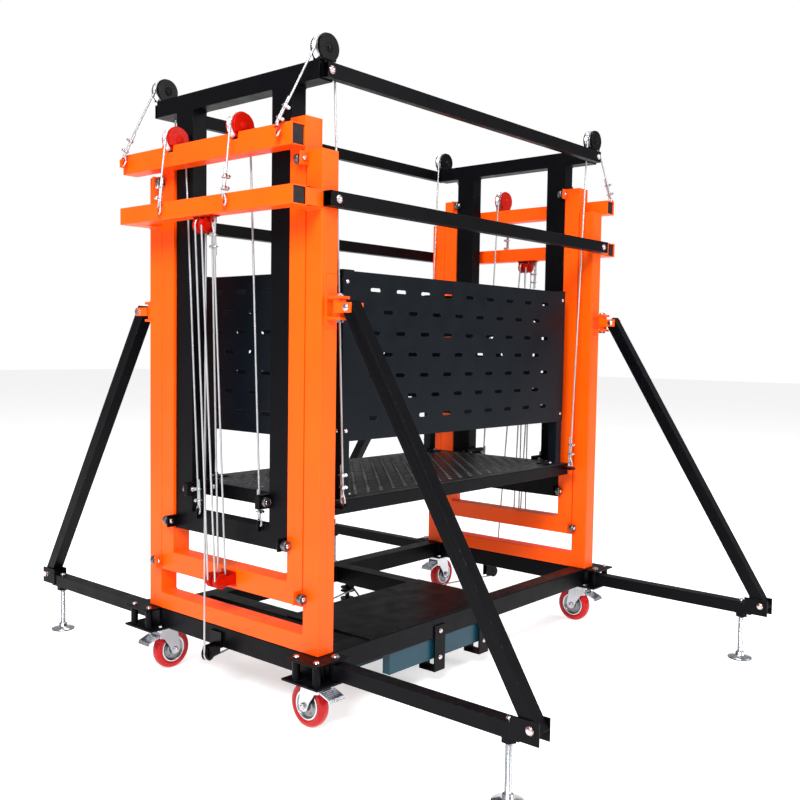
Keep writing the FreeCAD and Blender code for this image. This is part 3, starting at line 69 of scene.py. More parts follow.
ROPE_R = 3.0 * MM
ROPE_LAY = 38.0 * MM        # length over which a strand goes once round the rope
ROPE_STEP = 3.0 * MM        # distance between a rope's modelled sections
STRANDS = 6
CHEEK_R = 36.0 * MM         # round plates that carry a sheave's axle
CHEEK_PAIR = 40.0 * MM      # solids at least this wide are a sheave's two cheeks with its axle
SHEAVE_SPAN = 14.0 * MM     # thinner solids of the lead ropes are rope, thicker ones are sheaves
DEAD_EYE_RISE = 37.0 * MM   # the fixed block's eye, above the bottom of its wheels
FORK_FACE = 33.0 * MM       # middle of a wheel to the face of its axle nut
MAST_X = 0.700              # a mast's middle


# ---- shader building ----
class Shader:
    """One material with a Principled surface, and short names for the nodes it is made of."""

    def __init__(self, name):
        self.material = bpy.data.materials.new(name)
        self.material.use_nodes = True
        self.tree = self.material.node_tree
        self.surface = self.tree.nodes["Principled BSDF"]
        self.place = self.add("ShaderNodeTexCoord").outputs["Object"]

    def add(self, kind, values=None, **settings):
        node = self.tree.nodes.new(kind)
        for key, value in settings.items():
            setattr(node, key, value)
        for key, value in (values or {}).items():
            self.put(node.inputs[key], value)
        return node

    def put(self, socket, value):
        """A link if the value is another node's output, or else a constant."""
        if isinstance(value, bpy.types.NodeSocket):
            self.tree.links.new(value, socket)
        else:
            socket.default_value = value

    def set(self, **values):
        for key, value in values.items():
            self.put(self.surface.inputs[key.replace("_", " ")], value)
        return self

    def noise(self, scale, detail=3.0, roughness=0.5, stretch=None):
        """Noise with features about 1/scale metres across."""
        place = self.place
        if stretch:
            place = self.add("ShaderNodeMapping", {"Vector": place, "Scale": stretch}).outputs[0]
        node = self.add("ShaderNodeTexNoise", {"Vector": place, "Scale": scale, "Detail": detail,
                                               "Roughness": roughness})
        return node.outputs["Fac"]

    def remap(self, value, low, high, to_low=0.0, to_high=1.0):
        node = self.add("ShaderNodeMapRange", {"Value": value, "From Min": low, "From Max": high,
                                               "To Min": to_low, "To Max": to_high})
        return node.outputs["Result"]

    def maths(self, operation, a, b):
        node = self.add("ShaderNodeMath", operation=operation)
        self.put(node.inputs[0], a)
        self.put(node.inputs[1], b)
        return node.outputs[0]

    def mix(self, share, a, b):
        node = self.add("ShaderNodeMix", data_type="RGBA")
        self.put(node.inputs["Factor"], share)
        self.put(node.inputs[6], a if isinstance(a, bpy.types.NodeSocket) else rgba(a))
        self.put(node.inputs[7], b if isinstance(b, bpy.types.NodeSocket) else rgba(b))
        return node.outputs[2]

    def bump(self, height, distance, under=None, strength=1.0):
        values = {"Height": height, "Distance": distance, "Strength": strength}
        if under:
            values["Normal"] = under
        return self.add("ShaderNodeBump", values).outputs["Normal"]

    def edges(self, radius):
        """1 on sharp edges and 0 on flats, from how far a rounded normal leans."""
        soft = self.add("ShaderNodeBevel", {"Radius": radius}, samples=3).outputs["Normal"]
        hard = self.add("ShaderNodeNewGeometry").outputs["Normal"]
        lean = self.add("ShaderNodeVectorMath", {0: soft, 1: hard}, operation="DOT_PRODUCT")
        return self.remap(lean.outputs["Value"], 0.97, 0.80)

    def upward(self):
        """1 on faces that look up, where dust settles."""
        normal = self.add("ShaderNodeNewGeometry").outputs["Normal"]
        split = self.add("ShaderNodeSeparateXYZ", {"Vector": normal})
        return self.remap(split.outputs["Z"], 0.6, 1.0)


def rgba(colour):
    return (colour[0], colour[1], colour[2], 1.0)


def shade(colour, gain):
    return tuple(channel * gain for channel in colour)


# ---- materials ----
def powder_coat(name, colour, roughness, coat, dust=0.06, wear=0.5, metal=(0.32, 0.31, 0.3),
                gloss=0.25):
    """Sprayed and baked paint: orange peel, faint shade changes, dust on top, rubbed edges."""
    s = Shader(name)
    tint = s.mix(s.remap(s.noise(5.0, 2.0), 0.35, 0.65), shade(colour, 0.93), shade(colour, 1.04))
    scuff = s.remap(s.noise(26.0, 5.0, 0.65, (1.0, 1.0, 0.35)), 0.62, 0.72)
    tint = s.mix(s.maths("MULTIPLY", scuff, 0.22), tint, shade(colour, 0.7))
    grey = s.maths("MULTIPLY", s.upward(), s.remap(s.noise(40.0, 5.0, 0.7), 0.4, 0.75, 0.0, dust))
    tint = s.mix(grey, tint, (0.55, 0.52, 0.48))
    rubbed = s.maths("MULTIPLY", s.edges(1.6 * MM), s.remap(s.noise(75.0, 4.0, 0.6), 0.56, 0.66))
    rubbed = s.maths("MULTIPLY", rubbed, wear)
    tint = s.mix(rubbed, tint, metal)
    rough = s.remap(s.noise(18.0, 4.0), 0.3, 0.7, roughness - 0.05, roughness + 0.09)
    rough = s.maths("ADD", rough, s.maths("MULTIPLY", grey, 0.5))
    peel = s.bump(s.noise(650.0, 2.0), 0.12 * MM, strength=0.35)
    wave = s.bump(s.noise(22.0, 2.0), 0.9 * MM, peel, 0.18)
    s.set(Base_Color=tint, Roughness=rough, Metallic=s.maths("MULTIPLY", rubbed, 0.8), Normal=wave,
          Coat_Weight=coat, Coat_Roughness=0.12, Specular_IOR_Level=gloss)
    return s.material


def bright_metal(name, colour, roughness, brush=None):
    """Bare or plated metal with fine brushing, handling marks and light stains."""
    s = Shader(name)
    blotch = s.remap(s.noise(35.0, 4.0, 0.6), 0.5, 0.8)
    tint = s.mix(s.maths("MULTIPLY", blotch, 0.25), colour, (0.45, 0.42, 0.38))
    grain = s.noise(420.0, 3.0, 0.6, brush)
    rough = s.remap(grain, 0.3, 0.7, roughness - 0.07, roughness + 0.1)
    rough = s.maths("ADD", rough, s.maths("MULTIPLY", blotch, 0.12))
    s.set(Base_Color=tint, Metallic=1.0, Roughness=rough, Normal=s.bump(grain, 0.05 * MM, strength=0.4))
    return s.material


def plated_bolt(name):
    """Zinc-plated steel with a painted pink reflection of the orange frames and a faint yellow cast of
    its passivation.
    """
    s = Shader(name)
    # the pink mix is a painted reflection of the orange frames around the bolts
    pink_reflection_mask = s.noise(60.0, 2.0)
    tint = s.mix(s.remap(pink_reflection_mask, 0.35, 0.6), (0.62, 0.58, 0.60), (0.58, 0.42, 0.43))
    tint = s.mix(s.remap(s.noise(33.0, 3.0), 0.6, 0.75, 0.0, 0.5), tint, (0.60, 0.50, 0.33))
    rough = s.remap(s.noise(300.0, 3.0), 0.3, 0.7, 0.14, 0.3)
    s.set(Base_Color=tint, Metallic=1.0, Roughness=rough,
          Normal=s.bump(s.noise(500.0), 0.05 * MM, strength=0.3))
    return s.material


def wire_rope(name):
    """Galvanised wires laid across each strand, greyer with grease in places."""
    s = Shader(name)
    grease = s.remap(s.noise(14.0, 4.0, 0.6, (1.0, 1.0, 0.5)), 0.45, 0.75)
    tint = s.mix(s.maths("MULTIPLY", grease, 0.35), (0.46, 0.47, 0.49), (0.20, 0.195, 0.185))
    wires = s.add("ShaderNodeTexWave", {"Vector": s.place, "Scale": 260.0, "Distortion": 1.5},
                  wave_type="BANDS", bands_direction="DIAGONAL").outputs["Fac"]
    s.set(Base_Color=tint, Metallic=0.75, Roughness=s.remap(wires, 0.0, 1.0, 0.3, 0.46),
          Normal=s.bump(wires, 0.12 * MM, strength=0.6))
    return s.material


def cast_tyre(name):
    """Glossy cast polyurethane, scuffed where it rolls."""
    s = Shader(name)
    cloud = s.noise(30.0, 3.0)
    tint = s.mix(s.remap(cloud, 0.35, 0.65), (0.36, 0.0008, 0.002), (0.44, 0.0012, 0.003))
    scuff = s.remap(s.noise(130.0, 5.0, 0.7), 0.58, 0.7)
    tint = s.mix(s.maths("MULTIPLY", scuff, 0.18), tint, (0.28, 0.05, 0.05))
    rough = s.remap(scuff, 0.0, 1.0, 0.2, 0.45)
    s.set(Base_Color=tint, Roughness=rough, Coat_Weight=0.06, Specular_IOR_Level=0.25,
          Coat_Roughness=0.12, Normal=s.bump(s.noise(240.0, 3.0), 0.15 * MM, strength=0.25))
    return s.material


def dark_rubber_or_painted_shade(name, colour=(0.025, 0.026, 0.03)):
    """Moulded black rubber with a fine grain; the same near-black grained surface also paints the shade
    inside the open crossbar ends.
    """
    s = Shader(name)
    tint = s.mix(s.remap(s.noise(25.0, 3.0), 0.35, 0.7), colour, shade(colour, 1.9))
    s.set(Base_Color=tint, Roughness=s.remap(s.noise(90.0, 3.0), 0.3, 0.7, 0.38, 0.6),
          Specular_IOR_Level=0.25, Normal=s.bump(s.noise(900.0, 2.0), 0.12 * MM, strength=0.5))
    return s.material


def tread_steel(name):
    """Dark coated plate whose raised bars are polished by boots."""
    s = Shader(name)
    height = s.add("ShaderNodeSeparateXYZ", {"Vector": s.place}).outputs["Z"]
    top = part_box("deck_plate")[1].z
    crest = s.remap(height, top + 0.5 * MM, top + 1.2 * MM)
    polish = s.maths("MULTIPLY", crest, s.remap(s.noise(7.0, 4.0, 0.6), 0.35, 0.7, 0.1, 0.85))
    dirt = s.remap(s.noise(16.0, 6.0, 0.65), 0.45, 0.75)
    tint = s.mix(s.maths("MULTIPLY", dirt, 0.35), (0.006, 0.0065, 0.008), (0.03, 0.029, 0.028))
    tint = s.mix(polish, tint, (0.17, 0.17, 0.18))
    rough = s.remap(s.noise(55.0, 4.0), 0.3, 0.7, 0.3, 0.52)
    s.set(Base_Color=tint, Metallic=s.maths("MULTIPLY", polish, 0.9), Roughness=rough,
          Specular_IOR_Level=0.25, Normal=s.bump(s.noise(500.0, 3.0), 0.1 * MM, strength=0.4))
    return s.material


def floor_material():
    """Pale, slightly mottled studio floor."""
    s = Shader("studio_floor")
    tint = s.mix(s.remap(s.noise(3.0, 3.0), 0.3, 0.7), (0.90, 0.90, 0.90), (0.92, 0.92, 0.92))
    s.set(Base_Color=tint, Roughness=0.85, Emission_Color=tint, Emission_Strength=0.62,
          Normal=s.bump(s.noise(220.0, 3.0), 0.1 * MM, strength=0.1))
    return s.material


ORANGE = powder_coat("orange_powder_coat", (1.0, 0.088, 0.0002), 0.40, 0.06, gloss=0.16)
BLACK = powder_coat("black_powder_coat", (0.0016, 0.0016, 0.0026), 0.38, 0.01, 0.01, 0.3, gloss=0.07)
PANEL = powder_coat("panel_powder_coat", (0.0022, 0.0042, 0.0070), 0.34, 0.02, 0.01, 0.25, gloss=0.10)
TEAL = powder_coat("teal_enamel", (0.001, 0.036, 0.060), 0.34, 0.05, 0.02, 0.3)
SHEAVE_RED = powder_coat("sheave_orange_red", (0.40, 0.0050, 0.0001), 0.30, 0.03, 0.01, 0.3, gloss=0.12)
SHEAVE_BLACK = powder_coat("sheave_black", (0.0010, 0.0010, 0.0014), 0.30, 0.02, 0.01, 0.3, gloss=0.10)
ZINC = bright_metal("zinc_plate", (0.60, 0.62, 0.66), 0.22)
STEEL = bright_metal("turned_steel", (0.62, 0.62, 0.64), 0.26, (1.0, 0.1, 1.0))
DARK_STEEL = bright_metal("oiled_steel", (0.16, 0.16, 0.17), 0.34)
# the bolts' pink tint is a painted reflection of the orange frames
BOLT = plated_bolt("plated_bolts_painted_pink_reflection")
ROPE = wire_rope("galvanised_rope")
TYRE = cast_tyre("red_polyurethane")
RUBBER = dark_rubber_or_painted_shade("black_rubber")
# near-black fill that paints the shade inside the open crossbar ends
SHADE_FILL = dark_rubber_or_painted_shade("painted_shade_fill", (0.004, 0.003, 0.004))
RIM_GREY = bright_metal("rim_alloy", (0.22, 0.225, 0.235), 0.32)
TREAD = tread_steel("tread_plate")
PEDAL = powder_coat("pedal_blue_grey", (0.035, 0.05, 0.085), 0.3, 0.4, 0.08, 0.8, (0.6, 0.6, 0.62))


# ---- mesh building ----
class Builder:
    """Collects faces with their materials, then makes one named piece."""

    def __init__(self, name):
        self.name = name
        self.mesh = bmesh.new()
        self.materials = []

    def slot(self, material):
        if material not in self.materials:
            self.materials.append(material)
        return self.materials.index(material)

    def skin(self, rings, materials, smooth=True):
        """Joins rings of points into bands, each with its material."""
        rows = [[self.mesh.verts.new(p) for p in ring] for ring in rings]
        count = len(rings[0])
        for a, b, material in zip(rows, rows[1:], materials):
            index = self.slot(material)
            for j in range(count):
                k = (j + 1) % count
                face = self.mesh.faces.new((a[j], a[k], b[k], b[j]))
                face.material_index = index
                face.smooth = smooth
        return rows

    def cap(self, row, material, flip=False):
        face = self.mesh.faces.new(row[::-1] if flip else row)
        face.material_index = self.slot(material)

    def lathe(self, profile, centre, axis, segments=32, capped=True, smooth=True):
        """Revolves (radius, height, material) points; the material is that of the band above."""
        side, other = across(axis)
        rings = [circle(centre + axis * height, radius, segments, side, other)
                 for radius, height, _ in profile]
        rows = self.skin(rings, [material for _, _, material in profile], smooth)
        if capped:
            self.cap(rows[0], profile[0][2], flip=True)
            self.cap(rows[-1], profile[-2][2])

    def sweep(self, path, section, material):
        """Sweeps a section along a path; section(length) gives (across, up) offsets."""
        frames = path_frames(path)
        rings = []
        length = 0.0
        for i, (point, side, up) in enumerate(frames):
            if i:
                length += (point - frames[i - 1][0]).length
            rings.append([point + side * a + up * b for a, b in section(length)])
        rows = self.skin(rings, [material] * len(rings))
        self.cap(rows[0], material, flip=True)
        self.cap(rows[-1], material)

    def block(self, low, high, material, round_by=0.0, turn=None):
        """A box, with its edges rounded if asked, turned by a matrix if given."""
        made = bmesh.ops.create_cube(self.mesh, size=1.0)["verts"]
        size = Vector(high) - Vector(low)
        centre = (Vector(high) + Vector(low)) / 2
        for v in made:
            v.co = Vector((v.co.x * size.x, v.co.y * size.y, v.co.z * size.z)) + centre
        index = self.slot(material)
        faces = {f for v in made for f in v.link_faces}
        if round_by:
            edges = list({e for v in made for e in v.link_edges})
            bevelled = bmesh.ops.bevel(self.mesh, geom=edges, offset=round_by, segments=2,
                                       affect="EDGES", profile=0.5)
            faces = {f for f in faces if f.is_valid} | set(bevelled["faces"])
            made = list({v for f in faces for v in f.verts})
        for face in faces:
            face.material_index = index
            face.smooth = bool(round_by)
        if turn is not None:
            for v in made:
                v.co = turn @ v.co

    def hex(self, centre, axis, across_flats, height, material):
        """A chamfered hexagonal head or nut."""
        reach = across_flats / math.sqrt(3)
        profile = [(reach, 0.0, material), (reach, 0.82 * height, material),
                   (0.86 * reach, height, material), (0.5 * reach, height, material)]
        self.lathe(profile, centre, axis, 6, smooth=False)

    def washer(self, centre, axis, radius, thickness, material):
        profile = [(radius, 0.0, material), (radius, 0.7 * thickness, material),
                   (0.94 * radius, thickness, material), (0.5 * radius, thickness, material)]
        self.lathe(profile, centre, axis, 24)

    def dome(self, centre, axis, radius, height, material):
        """A button head."""
        profile = [(radius, 0.0, material), (radius, 0.15 * height, material)]
        for k in range(1, 6):
            lean = math.pi / 2 * k / 6
            profile.append((radius * math.cos(lean), height * (0.15 + 0.85 * math.sin(lean)), material))
        self.lathe(profile, centre, axis, 20)

    def finish(self, body, replaced=()):
        """Turns the faces outward and makes the piece; one without a body is placed by its caller."""
        bmesh.ops.remove_doubles(self.mesh, verts=self.mesh.verts, dist=1e-7)
        bmesh.ops.recalc_face_normals(self.mesh, faces=self.mesh.faces)
        data = bpy.data.meshes.new(self.name)
        self.mesh.to_mesh(data)
        self.mesh.free()
        for material in self.materials:
            data.materials.append(material)
        obj = bpy.data.objects.new(self.name, data)
        bpy.context.scene.collection.objects.link(obj)
        if body:
            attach(obj, body)
        if replaced:
            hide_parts(*replaced)
        return obj


def across(axis):
    """Two directions square to an axis."""
    side = Z.cross(axis) if abs(axis.z) < 0.9 else X.copy()
    side = (side - axis * side.dot(axis)).normalized()
    return side, axis.cross(side).normalized()


def circle(centre, radius, count, u, v):
    """Evenly spaced points round a centre, from u towards v."""
    turns = [math.tau * k / count for k in range(count)]
    return [centre + u * (radius * math.cos(t)) + v * (radius * math.sin(t)) for t in turns]


def path_frames(path):
    """A point with two square directions for each stop on a path, turning as little as it can."""
    frames = []
    side = None
    for i, point in enumerate(path):
        run = (path[min(i + 1, len(path) - 1)] - path[max(i - 1, 0)]).normalized()
        if side is None:
            side = across(run)[0]
        side = (side - run * side.dot(run)).normalized()
        frames.append((point, side, run.cross(side)))
    return frames


def spread(points, step):
    """The same path with stops about one step apart."""
    result = [points[0]]
    for a, b in zip(points, points[1:]):
        count = max(1, round((b - a).length / step))
        result += [a.lerp(b, k / count) for k in range(1, count + 1)]
    return result


def arc(centre, radius, first_deg, last_deg, u, v, step_deg=6.0):
    """Points round a centre, with angles from u towards v."""
    count = max(2, round(abs(last_deg - first_deg) / step_deg))
    points = []
    for k in range(count + 1):
        turn = math.radians(first_deg + (last_deg - first_deg) * k / count)
        points.append(centre + u * (radius * math.cos(turn)) + v * (radius * math.sin(turn)))
    return points


def rope(builder, points):
    """A laid rope: six strands spiral round the path."""
    def section(length):
        twist = math.tau * length / ROPE_LAY
        ring = []
        for k in range(3 * STRANDS):
            turn = math.tau * k / (3 * STRANDS) + twist
            reach = ROPE_R * (1.0 if k % 3 else 0.80)
            ring.append((reach * math.cos(turn), reach * math.sin(turn)))
        return ring
    builder.sweep(spread(points, ROPE_STEP), section, ROPE)


def round_ring(radius, count):
    """Corners of a round section."""
    turns = [math.tau * k / count for k in range(count)]
    return [(radius * math.cos(t), radius * math.sin(t)) for t in turns]


def wire(builder, path, radius, sides=8):
    """A plated round wire."""
    ring = round_ring(radius, sides)
    builder.sweep(path, lambda length: ring, ZINC)


def bead(builder, start, end, paint):
    """A rippled weld between two points."""
    def section(length):
        swell = BEAD_R * (1.0 + 0.16 * math.sin(length / (0.9 * MM)) + RANDOM.uniform(-0.06, 0.06))
        return round_ring(swell, 8)
    builder.sweep(spread([Vector(start), Vector(end)], 1.4 * MM), section, paint)


# ---- reading the frame ----
class Island:
    """One separate solid of a CAD node."""

    def __init__(self, vertices, faces):
        self.faces = faces
        self.points = [v.co.copy() for v in vertices]
        self.low = Vector([min(p[k] for p in self.points) for k in range(3)])
        self.high = Vector([max(p[k] for p in self.points) for k in range(3)])
        self.centre = (self.low + self.high) / 2
        self.size = self.high - self.low

    def ends(self):
        """The two ends of a straight bar, lower one first."""
        k = max(range(3), key=lambda n: self.size[n])
        middle = self.centre[k]
        low = [p for p in self.points if p[k] < middle]
        high = [p for p in self.points if p[k] >= middle]
        a, b = (sum(group, Vector()) / len(group) for group in (low, high))
        return (a, b) if a.z <= b.z else (b, a)


def islands(node):
    """The separate solids of a CAD node, each with its own copy of the mesh's faces."""
    mesh = bmesh.new()
    mesh.from_mesh(NODES[node].data)
    bmesh.ops.remove_doubles(mesh, verts=mesh.verts, dist=1e-6)
    mesh.verts.ensure_lookup_table()
    seen = set()
    found = []
    for start in mesh.verts:
        if start in seen:
            continue
        stack, group = [start], []
        seen.add(start)
        while stack:
            v = stack.pop()
            group.append(v)
            for edge in v.link_edges:
                other = edge.other_vert(v)
                if other not in seen:
                    seen.add(other)
                    stack.append(other)
        faces = [[v.co.copy() for v in f.verts] for f in {f for v in group for f in v.link_faces}]
        found.append(Island(group, faces))
    mesh.free()
    found.sort(key=lambda i: (round(i.centre.x, 3), round(i.centre.y, 3), round(i.centre.z, 3)))
    return found


def dress(node, material, bevel, segments=2):
    """Gives a CAD node its material and softened edges."""
    obj = NODES[node]
    obj.data.materials.clear()
    obj.data.materials.append(material)
    soften(obj, bevel, segments)


def soften(obj, bevel, segments=2):
    """Rounds the edges of an object's mesh as it is shown."""
    weld = obj.modifiers.new("join", "WELD")
    weld.merge_threshold = 1e-6
    cut = obj.modifiers.new("edges", "BEVEL")
    cut.width = bevel
    cut.segments = segments
    cut.limit_method = "ANGLE"
    cut.angle_limit = math.radians(35)
    cut.harden_normals = True
    cut.use_clamp_overlap = True


def island_piece(name, node_islands, material_for, body, bevel, replaced=()):
    """A piece made of chosen CAD solids, each with its own material."""
    builder = Builder(name)
    for island in node_islands:
        index = builder.slot(material_for(island))
        made = {}
        for corners in island.faces:
            verts = []
            for co in corners:
                key = tuple(round(c, 7) for c in co)
                if key not in made:
                    made[key] = builder.mesh.verts.new(co)
                verts.append(made[key])
            if len(set(verts)) == len(verts):
                face = builder.mesh.faces.new(verts)
                face.material_index = index
    obj = builder.finish(body, replaced)
    soften(obj, bevel)
    return obj


# ---- the tube frames ----
TUBE_EDGE = 4.0 * MM
BEAD_R = 2.6 * MM
TIE_LENGTH = 1.0            # shorter solids beside a tie tube are its bolts


def dress_frames():
    for side in ("near", "far"):
        dress(side + "_outer_frame", ORANGE, TUBE_EDGE, 3)
        dress(side + "_middle_frame", ORANGE, TUBE_EDGE, 3)
        dress(side + "_inner_frame", BLACK, TUBE_EDGE, 3)
    for node in ("base_frame", "deck_frame"):
        dress(node, BLACK, TUBE_EDGE, 3)
    for node in ("upper_tie_tubes", "lower_tie_tubes"):
        tie_tubes(node)
    dress("cover_plate", BLACK, 0.8 * MM)
    dress("base_brackets", BLACK, 0.9 * MM)


def tie_tubes(node):
    """Tie tubes keep their CAD tubes; their bolts get washers and plating."""
    parts = islands(node)
    tubes = [p for p in parts if p.size.x > TIE_LENGTH]
    bolts = [p for p in parts if p.size.x <= TIE_LENGTH]
    body = BODY_OF[node]
    island_piece(node + "_shown", tubes, lambda i: BLACK, body, 3 * MM, (node,))
    heads = Builder(node + "_bolts")
    for bolt in bolts:
        out = Y if bolt.centre.y > 0 else -Y
        base = Vector((bolt.centre.x, bolt.low.y if out.y > 0 else bolt.high.y, bolt.centre.z))
        heads.washer(base, out, 11 * MM, 1.6 * MM, BOLT)
        heads.dome(base + out * 1.6 * MM, out, 8.5 * MM, 5.4 * MM, BOLT)
    heads.finish(body)


# ---- wire ropes and their fittings ----
def clip(builder, centre, run, side):
    """A rope clip: a U-bolt round both ropes, a saddle and two nuts."""
    flat = run.cross(side)
    bend = 5.6 * MM
    middle = centre - side * 2.9 * MM
    path = [middle + flat * bend + side * 13 * MM]
    path += arc(middle - side * 2.9 * MM, bend, 0, -180, flat, side, 20)
    path.append(middle - flat * bend + side * 13 * MM)
    wire(builder, path, 1.9 * MM)
    turn = Matrix((flat, side, run)).transposed().to_4x4()
    turn.translation = middle + side * 6.5 * MM
    builder.block((-9.5 * MM, -3 * MM, -5 * MM), (9.5 * MM, 3 * MM, 5 * MM), ZINC, 1.2 * MM, turn)
    for way in (-1, 1):
        builder.hex(middle + flat * (way * bend) + side * 9.5 * MM, side, 8 * MM, 4 * MM, ZINC)


def rope_eye(builder, eye, start, run, side, clips=(16, 50), tail=78):
    """A rope bent round an eye over a thimble and clamped back on itself along its run.

    clips and tail are distances from the rope's end in millimetres.
    """
    side = (side - run * side.dot(run)).normalized()
    lay = side * 5.8 * MM
    turn = arc(eye, 7.2 * MM, 0, -180, side, run, 15)
    tail_end = start + run * tail * MM - lay
    path = [start, eye + run * 9 * MM + side * 6.2 * MM] + turn
    path += [eye + run * 9 * MM - side * 6.2 * MM, start + run * 4 * MM - lay, tail_end]
    rope(builder, path)
    liner = [eye + run * 16 * MM + side * 1.5 * MM] + arc(eye, 4.4 * MM, 0, -180, side, run, 20)
    wire(builder, liner + [eye + run * 16 * MM - side * 1.5 * MM], 1.5 * MM)
    for reach in clips:
        clip(builder, start + run * reach * MM, run, side)


def run_ropes(node, low_body, drop):
    """Ropes between two stages; their eyes ride on the lower body.

    drop is how far an eye lies below its rope's end, in millimetres.
    """
    runs = [p.ends() for p in islands(node)]
    shown = Builder(node + "_laid")
    ends = Builder(node + "_ends")
    for low, high in runs:
        rope(shown, [low, high])
        side = Y * (1 if low.y > 0 else -1)
        rope_eye(ends, low - Z * drop * MM, low, (high - low).normalized(), side)
    obj = shown.finish(None, (node,))
    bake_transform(obj)
    ends.finish(low_body)


def tackle_ropes():
    """The falls between the fixed and the moving blocks, and the dead end's eye."""
    runs = [p.ends() for p in islands("hoist_fall_ropes")]
    shown = Builder("hoist_falls_laid")
    ends = Builder("hoist_dead_ends")
    block_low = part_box("upper_blocks")[0].z
    for low, high in runs:
        rope(shown, [low, high])
        if high.z < block_low + 12 * MM:
            eye = Vector((high.x, high.y, block_low + DEAD_EYE_RISE))
            rope_eye(ends, eye, high, (low - high).normalized(), Y, (14, 46), 70)
    obj = shown.finish(None, ("hoist_fall_ropes",))
    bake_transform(obj)
    ends.finish("base")


def rope_arc_points(island):
    """Stops along a half ring of rope lying on a sheave, from its CAD solid."""
    radius = island.size.x / 2 - ROPE_R
    centre = Vector((island.centre.x, island.centre.y, island.low.z))
    return arc(centre, radius, 0, 180, X, Z, 5)


def lead_ropes():
    """The leads from the fixed blocks by way of the base sheaves to the drum."""
    body = BODY_OF["lead_rope_run"]
    ropes = Builder("lead_ropes_laid")
    irons = []
    for part in islands("lead_rope_run"):
        if min(part.size) >= SHEAVE_SPAN:
            irons.append(part)
        elif max(part.size) > 60 * MM:
            rope(ropes, list(part.ends()))
        elif part.centre.z > 1.0:
            rope(ropes, rope_arc_points(part))
        else:
            irons.append(part)
    ropes.finish(body, ("lead_rope_run",))
    island_piece("base_sheaves", irons, lambda i: SHEAVE_BLACK if min(i.size) > SHEAVE_SPAN else ROPE,
                 body, 0.6 * MM)


def drum():
    """The winch drum with rope wound on both halves."""
    low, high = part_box("winch_drum")
    centre = Vector((low.x, (low.y + high.y) / 2, (low.z + high.z) / 2))
    b = Builder("wound_drum")
    shaft, core, rim, reach = 12 * MM, 37.8 * MM, 58 * MM, 41 * MM
    x0, x1 = 26 * MM, high.x - low.x - 26 * MM
    middle = (x0 + x1) / 2
    profile = [(shaft * 0.8, 0, STEEL), (shaft, 1.5 * MM, STEEL), (shaft, x0, DARK_STEEL)]
    for a, c in ((x0, x0 + 4 * MM), (middle - 2 * MM, middle + 2 * MM), (x1 - 4 * MM, x1)):
        inside = core if a > x0 else shaft
        outside = core if c < x1 else shaft
        profile += [(inside, a, TEAL), (rim - 1 * MM, a, TEAL), (rim, a + 1 * MM, TEAL),
                    (rim, c - 1 * MM, TEAL), (rim - 1 * MM, c, TEAL), (outside, c, DARK_STEEL)]
    profile += [(shaft, x1 + 24 * MM, STEEL), (shaft * 0.8, x1 + 26 * MM, STEEL)]
    b.lathe(profile, centre, X, 48)
    for a, c in ((x0 + 5 * MM, middle - 8 * MM), (middle + 5 * MM, x1 - 8 * MM)):
        turns = int((c - a) / (6.4 * MM))
        path = []
        for k in range(turns * 24 + 1):
            turn = math.tau * k / 24
            along = a + ROPE_R + k / 24 * 6.3 * MM
            path.append(centre + X * along + Y * (reach * math.cos(turn)) + Z * (reach * math.sin(turn)))
        rope(b, path)
    b.finish("winch_drum", ("winch_drum",))


# ---- sheaves and blocks ----
def mirrored(side):
    """A turned profile in metres from one side of it in millimetres, listed from the bore outward.

    On the way back each band has the material of its twin.
    """
    there = [(r * MM, -h * MM, m) for r, h, m in side]
    materials = [side[0][2]] + [m for _, _, m in side[:-1]]
    back = [(r * MM, h * MM, m) for (r, h, _), m in zip(side, materials)]
    return there + back[::-1]


def sheaves(node, paint):
    """Painted sheaves with a rope-polished groove and a ring of dark rivets on each side."""
    b = Builder(node + "_turned")
    for part in islands(node):
        r = part.size.z / 2 / MM
        h = part.size.y / 2 / MM
        side = [(6.2, h, STEEL), (11, h, paint), (14, h - 0.6, paint), (15, h - 3.6, paint),
                (24, h - 3.8, paint), (26, h - 0.4, paint), (r - 1.2, h, paint), (r, h - 0.9, paint),
                (r - 0.4, h - 1.8, STEEL), (33.3, 3.3, STEEL), (31.8, 2.0, STEEL)]
        b.lathe(mirrored(side), part.centre, Y, 48, capped=False)
        for way in (-1, 1):
            for place in circle(part.centre, 19.5 * MM, 5, X, Z):
                b.washer(place + Y * way * (h - 3.9) * MM, Y * way, 3.2 * MM, 0.9 * MM, DARK_STEEL)
    b.finish(BODY_OF[node], (node,))


def sheave_irons(node, paint):
    """Painted cheeks, axle ends with washers and hex nuts, rope eyes, and the rope that lies over each
    sheave.
    """
    def over_sheave(part):
        return part.size.x > 70 * MM and part.size.y < 7 * MM
    body = BODY_OF[node]
    arcs = [p for p in islands(node) if over_sheave(p)]
    irons = [p for p in islands(node) if not over_sheave(p)]
    island_piece(node + "_cheeks", irons, lambda i: paint, body, 1.0 * MM, (node,))
    b = Builder(node + "_axle_ends")
    for part in irons:
        if part.size.y < CHEEK_PAIR:
            continue
        hub = Vector((part.centre.x, part.centre.y, part.high.z - CHEEK_R))
        for way in (-1, 1):
            face = hub + Y * way * (part.size.y / 2 - 5 * MM)
            b.washer(face, Y * way, 13 * MM, 1.6 * MM, paint)
            b.hex(face + Y * way * 1.2 * MM, Y * way, 17 * MM, 3.0 * MM, paint)
    for part in arcs:
        rope(b, rope_arc_points(part))
    b.finish(body)


def blocks(node):
    """The tackle blocks: red cheeks and wheels."""
    irons = [p for p in islands(node) if p.size.x > 20 * MM]
    island_piece(node + "_welded", irons, lambda i: SHEAVE_RED, BODY_OF[node],
                 0.7 * MM, (node,))


